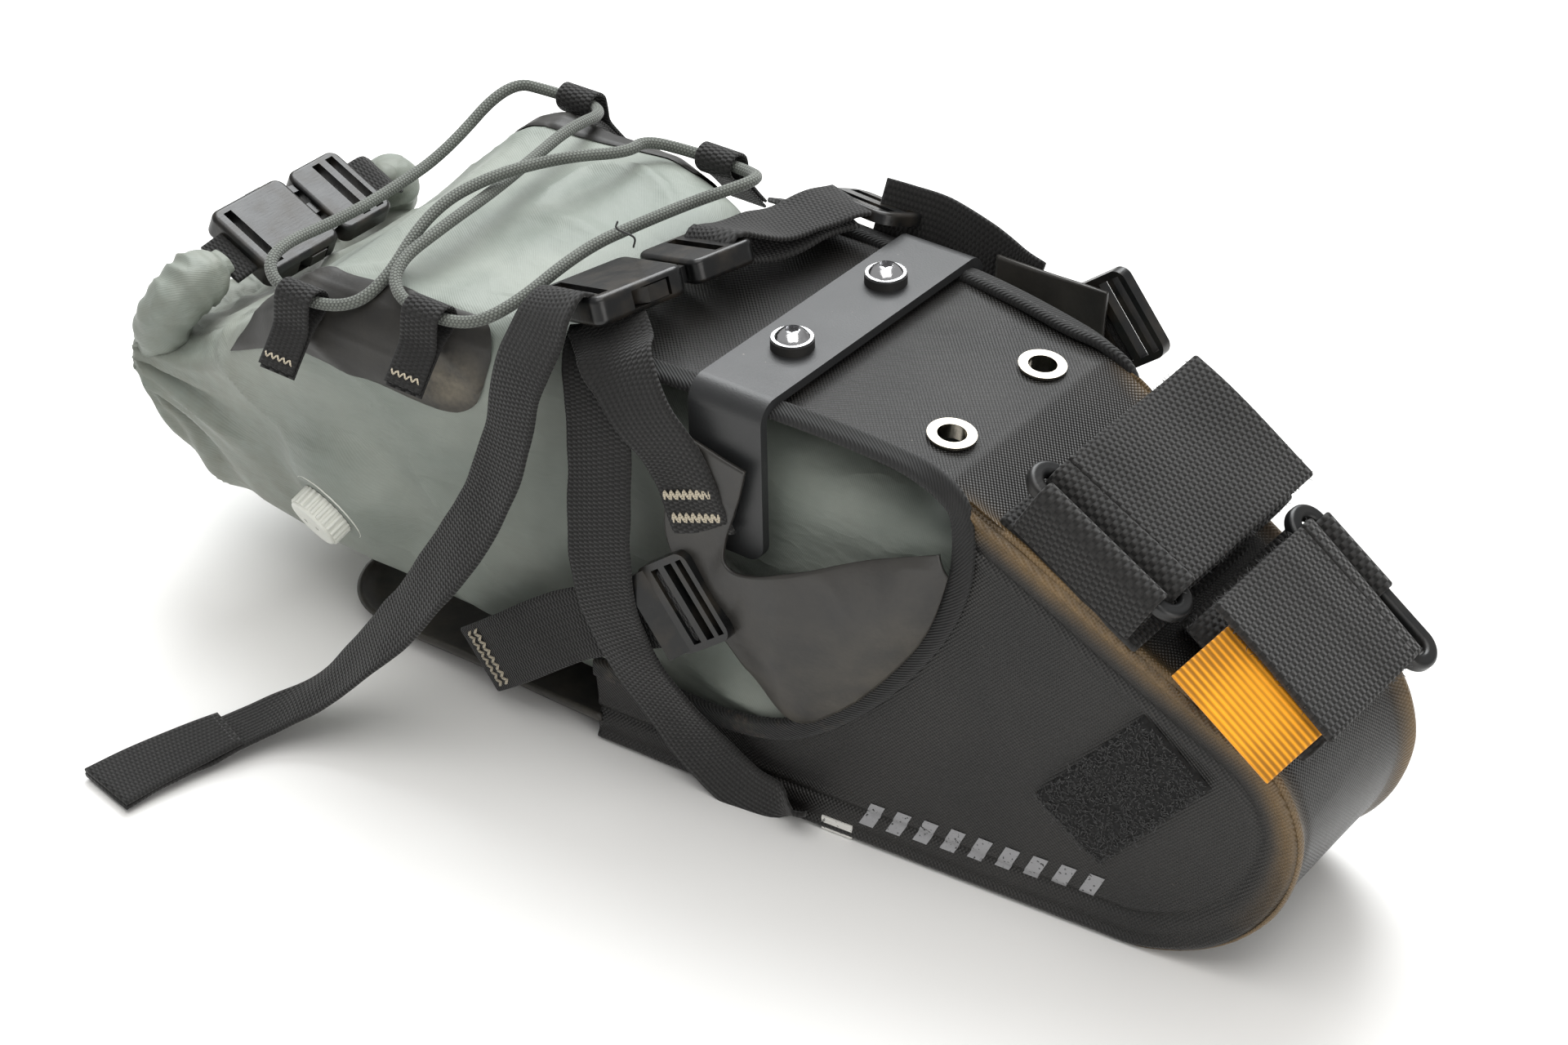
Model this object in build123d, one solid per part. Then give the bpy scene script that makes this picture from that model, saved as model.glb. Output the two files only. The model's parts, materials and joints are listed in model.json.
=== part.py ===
"""Bikepacking saddle bag: a wedge-shaped holster that carries a roll-top dry bag.

Frame: +X points to the nose (the seatpost end), +Y to the left side, +Z up. The origin lies on the
ground under the middle of the saddle bracket. Every length is in millimetres.
"""

from build123d import *
import os
from math import atan2, cos, degrees, radians, sin

# --- driving dimensions of the holster ---
NOSE_X = 186.0  # foremost point of the nose
REAR_X = -58.0  # rear edge of the top panel and of the side walls
TOP_Z = 150.0  # height of the flat top panel
HALF_WIDTH = 50.0  # half width of the holster where the sides start to close in
REAR_FLARE = 5.0  # extra half width at the rear edge
NOSE_HALF_WIDTH = 35.0  # half width of the holster at the nose
TAPER_START_X = 20.0  # where the sides start to close in
SLOPE_START_X = 16.0  # where the top starts to fall
SHOULDER_X = 70.0  # where the top meets the seatpost face
SHOULDER_DROP = 6.8  # fall of the top from the slope's start to the shoulder
BROW_X = 168.0  # lower end of the straight seatpost face
BROW_Z = 87.0
CHIN_X = 135.0  # where the nose curve meets the ground
CLOTH = 2.0  # coated cloth of the holster
WALL_Z = 30.0  # height of the low side wall behind the opening
BINDING_WIDTH = 5.0
BINDING_STAND = 0.7  # how far the binding stands proud of the cloth

# --- fittings of the holster ---
EYELET_PITCH_Y = 48.0  # distance between the two eyelets of a pair
EYELET_PITCH_X = 58.0  # from the rear pair to the front pair
EYELET_OUTER = 15.0
EYELET_HOLE = 9.0
EYELET_FLANGE = 0.8
BRACKET_WIDTH = 27.0
BRACKET_THICKNESS = 3.0
BRACKET_BEND = 7.0
BRACKET_LEG = 52.0
BRACKET_GAP = 1.6  # from the cloth to the bracket
BRACKET_SIDE_GAP = 1.8  # from the binding to the bracket's legs
TAB_THICKNESS = 1.5
TAB_GAP = 0.7  # from the bracket's leg to the wing tab
SCREW_DIAMETER = 6.0
SCREW_CLEARANCE = 0.5
SCREW_HEAD = 11.5
SCREW_HEAD_HEIGHT = 3.6
WASHER_OUTER = 13.5
WASHER_THICKNESS = 3.0
NUT_HEIGHT = 5.0
NUT_WIDTH = 10.0
PLATE_THICKNESS = 1.5
PLATE_REAR_X = -20.0
PLATE_HALF_WIDTH = 36.0

# --- webbing ---
WEB = 25.0  # width of the compression webbing
WEB_THICKNESS = 1.6
STRAP = 50.0  # width of a seatpost strap
STRAP_THICKNESS = 2.2

# --- dry bag ---
BAG_FRONT_X = 158.0
BAG_TAIL_X = -238.0
BAG_GAP = 1.5  # from the bag to the holster's cloth
PANEL_THICKNESS = 1.2
CORD_DIAMETER = 4.0
VALVE_DIAMETER = 21.0
VALVE_CAP_HEIGHT = 8.0
VALVE_BASE_HEIGHT = 2.5
VALVE_GAP = 0.4

# --- side-release buckles ---
BUCKLE_WIDTH = 33.0
BUCKLE_THICKNESS = 9.5
SOCKET_LENGTH = 34.0
PLUG_LENGTH = 24.0
PLUG_GAP = 3.5  # neck left open between plug and socket
BUCKLE_WALL = 1.9
PRONG_GAP = 0.4
RING_BAR = 4.6

os.makedirs("parts", exist_ok=True)


def save(name, shape):
    """Write one node as a STEP file."""
    solids = shape.solids() if hasattr(shape, "solids") else list(shape)
    made = Compound(children=list(solids)) if len(solids) > 1 else solids[0]
    export_step(made, f"parts/{name}.step")


def mirrored(shape):
    """The same piece on the other side of the bag."""
    return mirror(shape, about=Plane.XZ)


def box_between(low, high):
    """A box from its lowest to its highest corner."""
    size = [h - l for l, h in zip(low, high)]
    middle = [(h + l) / 2 for l, h in zip(low, high)]
    return Pos(*middle) * Box(*size)


# --- holster shell ---


def half_width(x):
    """Half width of the holster's outer face at x."""
    if x < TAPER_START_X:
        return HALF_WIDTH + REAR_FLARE * (TAPER_START_X - x) / (TAPER_START_X - REAR_X)
    return HALF_WIDTH + (NOSE_HALF_WIDTH - HALF_WIDTH) * (x - TAPER_START_X) / (NOSE_X - TAPER_START_X)


def outer_line():
    """Top, seatpost face and nose of the holster seen from the side, from the rear top to the chin."""
    shoulder_z = TOP_Z - SHOULDER_DROP
    flat = Line((REAR_X, TOP_Z), (SLOPE_START_X, TOP_Z))
    slope = Line((SLOPE_START_X, TOP_Z), (SHOULDER_X, shoulder_z))
    face = Line((SHOULDER_X, shoulder_z), (BROW_X, BROW_Z))
    brow = TangentArc((BROW_X, BROW_Z), (NOSE_X, BROW_Z - 37), tangent=face % 1)
    chin = TangentArc((NOSE_X, BROW_Z - 37), (CHIN_X, 0), tangent=brow % 1)
    return [flat, slope, face, brow, chin]


def profile_face(shrink=0.0):
    """The holster's side view as a face, drawn in by shrink."""
    lines = outer_line()
    base = Line((CHIN_X, 0), (REAR_X, 0))
    back = Line((REAR_X, 0), (REAR_X, TOP_Z))
    face = make_face(Wire(lines + [base, back]))
    if shrink:
        face = offset(face, -shrink, kind=Kind.INTERSECTION).face()
        face += Pos(REAR_X + 20, TOP_Z / 2) * Rectangle(40, TOP_Z - 2 * shrink)
    return face


def across(face):
    """A side-view face pushed through the whole width."""
    return extrude(Plane.XZ * face, 100, both=True)


def plan_face(grow):
    """The holster's plan, grown by grow on each side."""
    stations = (REAR_X - 20, TAPER_START_X, NOSE_X + 20)
    half = [(x, half_width(x) + grow) for x in stations]
    other = [(x, -y) for x, y in reversed(half)]
    return make_face(Polyline(*half, *other, close=True))


def side_band(outside, inside):
    """The right-hand layer between two offsets of the plan."""
    layer = extrude(plan_face(outside) - plan_face(-inside), TOP_Z + 60)
    layer = Pos(0, 0, -20) * layer
    return layer & box_between((-300, -100, -50), (300, 0, 300))


def opening_edge():
    """Edge of the side opening seen from the side, from the shoulder round to the low rear wall."""
    start = (SHOULDER_X + 7, TOP_Z - 12)
    low = (2, WALL_Z)
    curve = Spline(start, (72, 106), (42, 56), low, tangents=((0.25, -1), (-1, -0.05)))
    tail = Line(low, (REAR_X, WALL_Z + 1))
    return curve, tail


def side_panel():
    """Right side panel: the whole nose side and the low wall under the opening."""
    curve, tail = opening_edge()
    above = [
        Line((REAR_X, WALL_Z + 1), (REAR_X - 30, WALL_Z + 1)),
        Line((REAR_X - 30, WALL_Z + 1), (REAR_X - 30, TOP_Z + 30)),
        Line((REAR_X - 30, TOP_Z + 30), (SHOULDER_X + 7, TOP_Z + 30)),
        Line((SHOULDER_X + 7, TOP_Z + 30), (SHOULDER_X + 7, TOP_Z - 12)),
    ]
    cut = make_face(Wire([curve, tail] + above))
    return across(profile_face() - cut) & side_band(0, CLOTH)


def edge_binding(panel, top):
    """Twill binding folded over the opening's edge and the top panel's edge."""
    curve, tail = opening_edge()
    ribbon = trace(curve, BINDING_WIDTH) + trace(tail, BINDING_WIDTH)
    strip = across(ribbon) & side_band(BINDING_STAND, CLOTH + BINDING_STAND)
    layer = profile_face() & Pos((REAR_X + SHOULDER_X) / 2, TOP_Z) * Rectangle(
        SHOULDER_X - REAR_X, 2 * (CLOTH + SHOULDER_DROP)
    )
    lifted = Pos(0, BINDING_STAND) * layer - profile_face(CLOTH + BINDING_STAND)
    edge = across(lifted) & side_band(BINDING_STAND, BINDING_WIDTH)
    return (strip + edge) - panel - top


def gusset_panel():
    """Top panel and nose: one strip between the side panels, with the eyelet holes."""
    band = profile_face() - profile_face(CLOTH)
    keep = box_between((REAR_X, -100, -1), (NOSE_X + 5, 100, TOP_Z + 5))
    floor_part = box_between((REAR_X - 10, -100, -5), (CHIN_X, 100, CLOTH + 3))
    back_part = box_between((REAR_X - 50, -100, -5), (REAR_X + 1, 100, TOP_Z - CLOTH))
    inner = Pos(0, 0, -20) * extrude(plan_face(-CLOTH), TOP_Z + 60)
    strip = (across(band) & inner & keep) - floor_part - back_part
    for place in eyelet_places():
        strip -= place * Cylinder(EYELET_HOLE / 2 + EYELET_FLANGE, 30)
    return strip


def eyelet_places():
    """The four eyelet centres on the top face: rear pair, then front pair."""
    tilt = atan2(SHOULDER_DROP, SHOULDER_X - SLOPE_START_X)
    front_z = TOP_Z - (EYELET_PITCH_X - SLOPE_START_X) * sin(tilt) / cos(tilt)
    spots = []
    for y in (-EYELET_PITCH_Y / 2, EYELET_PITCH_Y / 2):
        spots.append(Pos(0, y, TOP_Z))
        spots.append(Pos(EYELET_PITCH_X, y, front_z) * Rot(0, degrees(tilt), 0))
    return spots


def bottom_panel():
    """Flat bottom panel between the side panels."""
    inner = extrude(plan_face(-CLOTH), CLOTH)
    return inner & box_between((REAR_X, -100, 0), (CHIN_X, 100, CLOTH))


def rear_flap():
    """Rubber-coated tongue behind the bottom panel, with low lips that cup the bag."""
    length = 122
    half = half_width(REAR_X)
    lip = 9
    middle = REAR_X - length / 2
    sheet = Pos(middle, 0) * Rectangle(length, 2 * half)
    corners = sheet.vertices().sort_by(Axis.X)[:2]
    sheet = fillet(corners, 28)
    tray = extrude(sheet, lip)
    inside = Pos(middle, 0) * Rectangle(length, 2 * (half - CLOTH))
    inside = fillet(inside.vertices().sort_by(Axis.X)[:2], 28 - CLOTH)
    hollow = Pos(0.01 + CLOTH, 0, CLOTH) * extrude(inside, lip)
    low_end = box_between((middle - length, -half - 1, CLOTH + 1), (REAR_X - length + 34, half + 1, lip + 1))
    return tray - hollow - low_end


def backing_plate():
    """Stiff plate under the top panel that spreads the bracket's load."""
    band = profile_face(CLOTH) - profile_face(CLOTH + PLATE_THICKNESS)
    zone = box_between((PLATE_REAR_X, -PLATE_HALF_WIDTH, TOP_Z - 30), (SHOULDER_X - 1, PLATE_HALF_WIDTH, TOP_Z))
    plate = across(band) & zone
    for place in eyelet_places():
        plate -= place * Cylinder(EYELET_HOLE / 2 + EYELET_FLANGE, 30)
    return plate


def nose_stiffener():
    """Bent plastic sheet behind the seatpost face and the nose."""
    band = profile_face(CLOTH) - profile_face(CLOTH + PLATE_THICKNESS)
    nose = half_width(NOSE_X) - CLOTH - 3
    zone = box_between((SHOULDER_X + 3, -nose, 8), (NOSE_X, nose, TOP_Z))
    return across(band) & zone


def eyelets():
    """Rolled metal eyelets with a flange on both faces."""
    depth = CLOTH + PLATE_THICKNESS
    made = []
    for place in eyelet_places():
        barrel = Cylinder(EYELET_HOLE / 2 + EYELET_FLANGE, depth, align=(Align.CENTER, Align.CENTER, Align.MAX))
        upper = Cylinder(EYELET_OUTER / 2, EYELET_FLANGE, align=(Align.CENTER, Align.CENTER, Align.MIN))
        lower = Pos(0, 0, -depth) * Cylinder(
            EYELET_OUTER / 2 - 1, EYELET_FLANGE, align=(Align.CENTER, Align.CENTER, Align.MAX)
        )
        ring = barrel + upper + lower - Cylinder(EYELET_HOLE / 2, 4 * depth)
        made.append(place * ring.solid())
    return Compound(children=made)


# --- saddle bracket ---


def bracket_outer():
    """Half width over the bracket's legs."""
    return half_width(-BRACKET_WIDTH / 2) + BINDING_STAND + BRACKET_SIDE_GAP + BRACKET_THICKNESS


def saddle_bracket():
    """Bent strip that lies over the saddle rails: a flat bridge with two legs."""
    low = TOP_Z + BRACKET_GAP
    high = low + BRACKET_THICKNESS
    outer = bracket_outer()
    inner = outer - BRACKET_THICKNESS
    foot = low - BRACKET_LEG
    outside = Pos(0, (high + foot) / 2) * Rectangle(2 * outer, high - foot)
    outside = fillet(outside.vertices().sort_by(Axis.Y)[-2:], BRACKET_BEND)
    inside = Pos(0, (low + foot) / 2) * Rectangle(2 * inner, low - foot)
    inside = fillet(inside.vertices().sort_by(Axis.Y)[-2:], BRACKET_BEND - BRACKET_THICKNESS)
    strip = extrude(Plane.YZ * (outside - inside), BRACKET_WIDTH / 2, both=True)
    toes = strip.edges().filter_by(Axis.Y).sort_by(Axis.Z)[:4]
    strip = fillet(toes, 6)
    for y in (-EYELET_PITCH_Y / 2, EYELET_PITCH_Y / 2):
        strip -= Pos(0, y, high) * Cylinder(SCREW_DIAMETER / 2 + SCREW_CLEARANCE, 20)
    return strip


def screw_seat():
    """Height of the washer's top face, under the screw heads."""
    return TOP_Z + BRACKET_GAP + BRACKET_THICKNESS + WASHER_THICKNESS


def nut_top():
    """Height of the nuts' top face, under the eyelets' lower flange."""
    return TOP_Z - CLOTH - PLATE_THICKNESS - EYELET_FLANGE


def bracket_screws():
    """Two dome-head screws with hexagon sockets."""
    made = []
    for y in (-EYELET_PITCH_Y / 2, EYELET_PITCH_Y / 2):
        seat = screw_seat()
        sphere_r = (SCREW_HEAD**2 / 4 + SCREW_HEAD_HEIGHT**2) / (2 * SCREW_HEAD_HEIGHT)
        dome = Pos(0, 0, SCREW_HEAD_HEIGHT - sphere_r) * Sphere(sphere_r)
        head = dome & Cylinder(SCREW_HEAD / 2 + 1, 2 * SCREW_HEAD_HEIGHT, align=(Align.CENTER, Align.CENTER, Align.MIN))
        head += Cylinder(SCREW_HEAD / 2 + 0.7, 0.6, align=(Align.CENTER, Align.CENTER, Align.MIN))
        socket = extrude(RegularPolygon(2.3, 6), SCREW_HEAD_HEIGHT)
        head -= Pos(0, 0, 1.4) * socket
        length = seat - nut_top() + NUT_HEIGHT
        shank = Cylinder(SCREW_DIAMETER / 2, length, align=(Align.CENTER, Align.CENTER, Align.MAX))
        made.append(Pos(0, y, seat) * (head + shank).solid())
    return Compound(children=made)


def ring_pair(outer, inner, height, top, sides=0):
    """Two flat rings or nuts round the bracket screws, hanging down from top."""
    made = []
    for y in (-EYELET_PITCH_Y / 2, EYELET_PITCH_Y / 2):
        outline = RegularPolygon(outer, sides) if sides else Circle(outer)
        ring = extrude(outline - Circle(inner), -height)
        made.append((Pos(0, y, top) * ring).solid())
    return Compound(children=made)


# --- ribbons ---


def ribbon(stations, width, thickness):
    """Webbing as a chain of straight pieces. A station is (centre, direction across the web)."""
    places = [Vector(*centre) for centre, _ in stations]
    faces = []
    for i, (_, across_web) in enumerate(stations):
        ahead = places[min(i + 1, len(places) - 1)]
        behind = places[max(i - 1, 0)]
        along = (ahead - behind).normalized()
        side = Vector(*across_web)
        side = (side - along * side.dot(along)).normalized()
        plane = Plane(origin=places[i], x_dir=side, z_dir=along)
        faces.append(plane * Rectangle(width, thickness))
    return loft(faces, ruled=True)


ALONG = (1, 0, 0)


def arm_y():
    """Distance of a wing tab's arm from the centre plane: just outside the bracket's leg."""
    return bracket_outer() + TAB_GAP + TAB_THICKNESS / 2


def wing_plate():
    """Sewn part of a wing tab: it lies along the binding in the right opening."""
    outline = [(14.5, 98), (66, 121), (67, 108), (54, 86), (36, 64), (20, 50), (6, 64), (6, 86)]
    face = make_face(Polyline(*outline, close=True))
    plane = side_plane(TAPER_START_X)
    shift = Pos(-TAPER_START_X, 0, BINDING_STAND + 0.2)
    return plane * shift * extrude(face, TAB_THICKNESS)


def wing_tab_right():
    """Rubber wing in the right opening, with an arm outside the bracket's leg."""
    y = arm_y()
    foot = half_width(TAPER_START_X) + BINDING_STAND + 1.2
    stations = [((17, -foot, 60), ALONG), ((8, -y + 2, 78), ALONG), ((0, -y, 96), ALONG), ((-4, -y, 138), ALONG)]
    return wing_plate() + ribbon(stations, WEB + 1, TAB_THICKNESS)


def wing_tab_left():
    """Rubber wing in the left opening; its slack arm stands up beside the top panel."""
    y = arm_y()
    stations = [((34, y - 8, 88), ALONG), ((35, y, 112), ALONG), ((36, y + 4.5, 134), ALONG), ((36, y + 5.5, 149), ALONG)]
    return mirrored(wing_plate()) + ribbon(stations, WEB + 9, TAB_THICKNESS)


def wing_webbing_right():
    """Webbing sewn on the right wing tab, up over the bag's shoulder to the buckle."""
    y = arm_y() + TAB_THICKNESS / 2 + WEB_THICKNESS / 2 + 0.2
    return [
        ((-6, -y, 108), (25, 0, 14)),
        ((-15, -y - 0.6, 127), (25, 0, 14)),
        ((-26, -y - 3, 141), (25, 0, 11)),
        ((-37, -y + 0.5, 151), (25, 2, 8)),
        ((-45, -y + 8, 153.6), (25, 4, 3)),
    ]


def wing_webbing_left():
    """Webbing from the slider forward to the left wing tab."""
    y = arm_y() + 5.5 + TAB_THICKNESS / 2 + WEB_THICKNESS / 2 + 0.3
    return [
        ((-12, y - 2, 148), (0, 8, 25)),
        ((0, y, 146.5), (0, 4, 25)),
        ((14, y, 142), (0, 3, 25)),
        ((25, y, 139.5), (0, 2, 25)),
    ]


def side_webbing():
    """Webbing down the right side of the bag, sewn to the side panel near the ground."""
    sewn = BINDING_STAND + WEB_THICKNESS / 2 + 0.6
    return [
        ((-46, -56.8, 147.5), ALONG),
        ((-42, -58.0, 136), ALONG),
        ((-40, -59.5, 112), ALONG),
        ((-38, -58.5, 78), ALONG),
        ((-31, -57.4, 48), (25, 0, 5)),
        ((-15, -half_width(-28) - sewn - 1, 26), (25, 0, 12)),
        ((2, -half_width(-9) - sewn, 12), (25, 0, 12)),
    ]


def flap_webbing_right():
    """Webbing from the rear flap up to the right ladder lock."""
    return [
        ((-105, -57.6, 14), (-15, 0, 20)),
        ((-86, -63.6, 30), (-15, 0, 20)),
        ((-64, -62.4, 47), (-15, 0, 20)),
        ((-42, -61.6, 60), (-15, 0, 20)),
        ((-25, -62.4, 70), (-15, 0, 20)),
    ]


def flap_webbing_left():
    """Webbing from the rear flap up to the slack left ladder lock."""
    y = arm_y()
    return [
        ((-105, 57.6, 14), (-15, 0, 20)),
        ((-86, 63.6, 30), (-15, 0, 20)),
        ((-64, 62.4, 45), (-15, 0, 20)),
        ((-42, 61.6, 58), (-15, 0, 20)),
        ((-14, 61.2, 80), (-15, 0, 20)),
        ((16, y + 3.5, 104), (-15, 0, 20)),
        ((42, y + 9.6, 126), (-15, 0, 20)),
    ]


def strap_tail():
    """Free end of the compression strap: it hangs from the buckle and lies on the ground."""
    return [
        ((-66, -63, 152), (24, -4, 4)),
        ((-71, -69, 140), (24, -6, 3)),
        ((-76, -75, 108), (24, -8, 2)),
        ((-90, -84, 78), (24, -9, 4)),
        ((-110, -93, 46), (23, -10, 8)),
        ((-130, -103, 20), (22, -8, 12)),
        ((-150, -118, 6), (24, -7, 6)),
        ((-160, -142, 4), (23, -8, 3)),
        ((-166, -170, 3.2), (22, -8, 2)),
    ]


def top_webbing():
    """Doubled webbing from the buckle's plug across the top to the slider."""
    return [
        ((-44, 9, 158.5), (25, -6, 0)),
        ((-42, 22, 159), (25, -6, 0)),
        ((-39, 34, 160), (25, -4, 2)),
        ((-35, 44, 160.5), (25, -2, 0)),
    ]


# --- buckles and locks, drawn along local +X from plug to socket ---


def webbing_slots(x, count, width, thickness):
    """Cuts for webbing across a plastic fitting."""
    cuts = Part()
    for i in range(count):
        cuts += Pos(x + i * 6.6, 0, 0) * Box(3.6, width, thickness * 3)
    return cuts


def buckle_socket():
    """Female half: a flat sleeve with a window on each side and a webbing bar."""
    start = PLUG_LENGTH + PLUG_GAP
    body = Pos(start + SOCKET_LENGTH / 2, 0, 0) * Box(SOCKET_LENGTH, BUCKLE_WIDTH, BUCKLE_THICKNESS)
    body = fillet(body.edges().filter_by(Axis.Z), 4)
    body = fillet(body.edges().filter_by(Axis.Y), 2)
    room = BUCKLE_THICKNESS - 2 * BUCKLE_WALL
    cavity = Pos(start + 11, 0, 0) * Box(24, BUCKLE_WIDTH - 2 * BUCKLE_WALL, room)
    windows = Pos(start + 13.5, 0, 0) * Box(14, BUCKLE_WIDTH + 4, room)
    slots = Pos(0, 0, 0) * webbing_slots(start + SOCKET_LENGTH - 6, 1, WEB + 1.5, BUCKLE_THICKNESS)
    return body - cavity - windows - slots


def buckle_plug():
    """Male half: a webbing plate with the middle guide of the plug."""
    plate = Pos(PLUG_LENGTH / 2, 0, 0) * Box(PLUG_LENGTH, BUCKLE_WIDTH - 1, BUCKLE_THICKNESS - 1.5)
    plate = fillet(plate.edges().filter_by(Axis.Z), 4)
    plate = fillet(plate.edges().filter_by(Axis.Y), 1.6)
    plate -= webbing_slots(5, 2, WEB + 1.5, BUCKLE_THICKNESS)
    reach = PLUG_GAP + 19
    guide = Pos(PLUG_LENGTH - 1 + reach / 2, 0, 0) * Box(reach + 2, 5, 4)
    return plate + fillet(guide.edges().filter_by(Axis.Z), 1.2)


def prong_hinge():
    """Local x and y of the point where the upper prong flexes."""
    return PLUG_LENGTH + PRONG_GAP + 1.4, BUCKLE_WIDTH / 2 - 6.6


def buckle_prong(side):
    """One springy arm of the plug, with its finger head in the socket's window."""
    root_x, root_y = prong_hinge()
    tip = PLUG_LENGTH + PLUG_GAP + 19.5
    head_y = BUCKLE_WIDTH / 2 + 0.6
    outline = [
        (root_x - 1.4, root_y - 1.6), (root_x - 1.4, root_y + 1.6), (PLUG_LENGTH + PLUG_GAP + 6.5, root_y + 3.2),
        (PLUG_LENGTH + PLUG_GAP + 8, head_y), (PLUG_LENGTH + PLUG_GAP + 15, head_y), (tip, root_y + 2.5),
        (tip, root_y - 1), (PLUG_LENGTH + PLUG_GAP + 6, root_y - 0.5),
    ]
    arm = extrude(make_face(Polyline(*outline, close=True)), 2.5, both=True)
    return arm if side > 0 else mirror(arm, about=Plane.XZ)


def ladder_lock():
    """Tipping ladder lock: a plate with two webbing slots and a raised thumb lip."""
    plate = Box(24, 31, 4)
    plate = fillet(plate.edges().filter_by(Axis.Z), 4)
    lip = Pos(12.5, 0, 2.2) * Rot(0, -24, 0) * Box(8, 29, 3)
    made = plate + lip - Pos(-3.3, 0, 0) * webbing_slots(0, 2, WEB + 1.5, 4)
    return made - Pos(-8.6, 0, 0) * Box(2.6, WEB + 1.5, 10)


def slider():
    """Three-bar slider that locks the doubled webbing."""
    plate = Box(21, 32, 4)
    plate = fillet(plate.edges().filter_by(Axis.Z), 6)
    plate = fillet(plate.faces().sort_by(Axis.Z)[-1].edges(), 1.2)
    return plate - Pos(-4.2, 0, 0) * Box(3.8, WEB + 1.2, 10) - Pos(4.2, 0, 0) * Box(3.8, WEB + 1.2, 10)


MAIN_BUCKLE = Pos(-47, 5, 161) * Rot(0, 0, -104) * Rot(18, 0, 0)
SLIDER_PLACE = Pos(-30, 58, 156.5) * Rot(-22, 0, 0) * Rot(0, 0, 78)
LOCK_RIGHT = Pos(-12, -63.6, 79) * Rot(0, 142, 0) * Rot(90, 0, 0)
LOCK_LEFT = Pos(57, 69.6, 138.5) * Rot(0, 142, 0) * Rot(-90, 0, 0)

# --- seatpost straps ---

FACE_TILT = atan2(TOP_Z - SHOULDER_DROP - BROW_Z, BROW_X - SHOULDER_X)


def face_point(x):
    """Height of the straight seatpost face at x."""
    return BROW_Z + (BROW_X - x) * sin(FACE_TILT) / cos(FACE_TILT)


def strap_plane(x, extra=0.0, lift=0.0):
    """Plane on the seatpost face at x: local x runs down the face, local z points out of it."""
    tilt = FACE_TILT + extra
    down = (cos(tilt), 0, -sin(tilt))
    out = (sin(tilt), 0, cos(tilt))
    origin = (x + lift * sin(tilt), 0, face_point(x) + lift * cos(tilt))
    return Plane(origin=origin, x_dir=down, z_dir=out)


RING_HEIGHT = 16.0  # ring bars above the face
RING_HALF = 5.2  # from the ring's middle to each long bar
RING_EDGE = 9.0  # from the ring's middle to the side of the bag
FOLD_RADIUS = 4.5  # strap round the ring's bar
BASE_HEIGHT = 3.7  # sewn layer of the strap above the face
LOOP_THICKNESS = 1.6
UPPER_X = 109.0
LOWER_X = 158.0
LOWER_EXTRA_TILT = radians(6)
LOWER_LIFT = 1.4
UPPER_REACH = 44.0  # free end of each flap across the bag
LOWER_REACH = 30.0
HINGE_GAP = 0.35


def ring_y(x):
    """Distance of a ring's middle from the bag's centre plane."""
    return half_width(x + 21) - RING_EDGE


def half_ring(y, z, radius, thickness, side):
    """Half of a bend in a strap, open towards -side along y."""
    band = Circle(radius + thickness / 2) - Circle(radius - thickness / 2)
    half = Pos(side * radius, 0) * Rectangle(2 * radius, 4 * radius)
    return Pos(y, z) * (band & half)


def layer(start, end, z, thickness):
    """A flat layer of a strap seen edge on."""
    return Pos((start + end) / 2, z) * Rectangle(abs(end - start), thickness)


def strap_solid(section):
    """An edge-on section pushed to the strap's full width."""
    return extrude(Plane.YZ * section, STRAP / 2, both=True)


def strap_anchor(x, room):
    """Patch of webbing sewn on the face, and the loop that stands up round the ring's outer bar."""
    bar = -ring_y(x) - RING_HALF
    radius = RING_BAR / 2 + LOOP_THICKNESS / 2 + 0.5
    outer = bar - radius - LOOP_THICKNESS / 2
    patch = box_between((-STRAP / 2 - 2, outer, 0.2), (min(STRAP / 2 + 2, room), 23, 0.2 + STRAP_THICKNESS))
    arch = (Circle(radius + LOOP_THICKNESS / 2) - Circle(radius - LOOP_THICKNESS / 2)) & Pos(0, radius) * Rectangle(
        4 * radius, 2 * radius
    )
    legs = Sketch()
    for y in (-radius, radius):
        legs += Pos(y, (1.0 - RING_HEIGHT) / 2) * Rectangle(LOOP_THICKNESS, RING_HEIGHT - 1.0)
    loop = extrude(Plane.YZ * (Pos(bar, RING_HEIGHT) * (arch + legs)), STRAP / 2 - 4, both=True)
    if room < STRAP / 2:
        loop = loop & box_between((-STRAP, -100, 0), (room, 100, 60))
    return patch + loop


def strap_ring(x):
    """Oval plastic ring: two long bars joined by round ends."""
    straight = STRAP - 4
    outline = SlotCenterToCenter(straight, 2 * RING_HALF + RING_BAR)
    hole = SlotCenterToCenter(straight, 2 * RING_HALF - RING_BAR)
    ring = extrude(outline - hole, RING_BAR / 2, both=True)
    ring = fillet(ring.edges(), 1.5)
    return Pos(0, -ring_y(x), RING_HEIGHT) * ring


def strap_band(x, reach):
    """Strap from the patch to the far side, back under the flap, and up round the ring's inner bar."""
    bar = -ring_y(x) + RING_HALF
    back = RING_HEIGHT - FOLD_RADIUS
    bend = reach - 6
    turn = (back - BASE_HEIGHT) / 2
    section = layer(6, bend, BASE_HEIGHT, STRAP_THICKNESS) + layer(bar, bend, back, STRAP_THICKNESS)
    section += half_ring(bend, BASE_HEIGHT + turn, turn, STRAP_THICKNESS, 1)
    section += half_ring(bar, RING_HEIGHT, FOLD_RADIUS, STRAP_THICKNESS, -1)
    section += layer(bar, bar + 2, RING_HEIGHT + FOLD_RADIUS, STRAP_THICKNESS)
    return strap_solid(section)


def strap_flap(x, reach):
    """Top layer of the strap: it peels open about its upper edge at the ring."""
    bar = -ring_y(x) + RING_HALF
    return strap_solid(layer(bar + 2 + HINGE_GAP, reach, RING_HEIGHT + FOLD_RADIUS, STRAP_THICKNESS))


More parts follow.
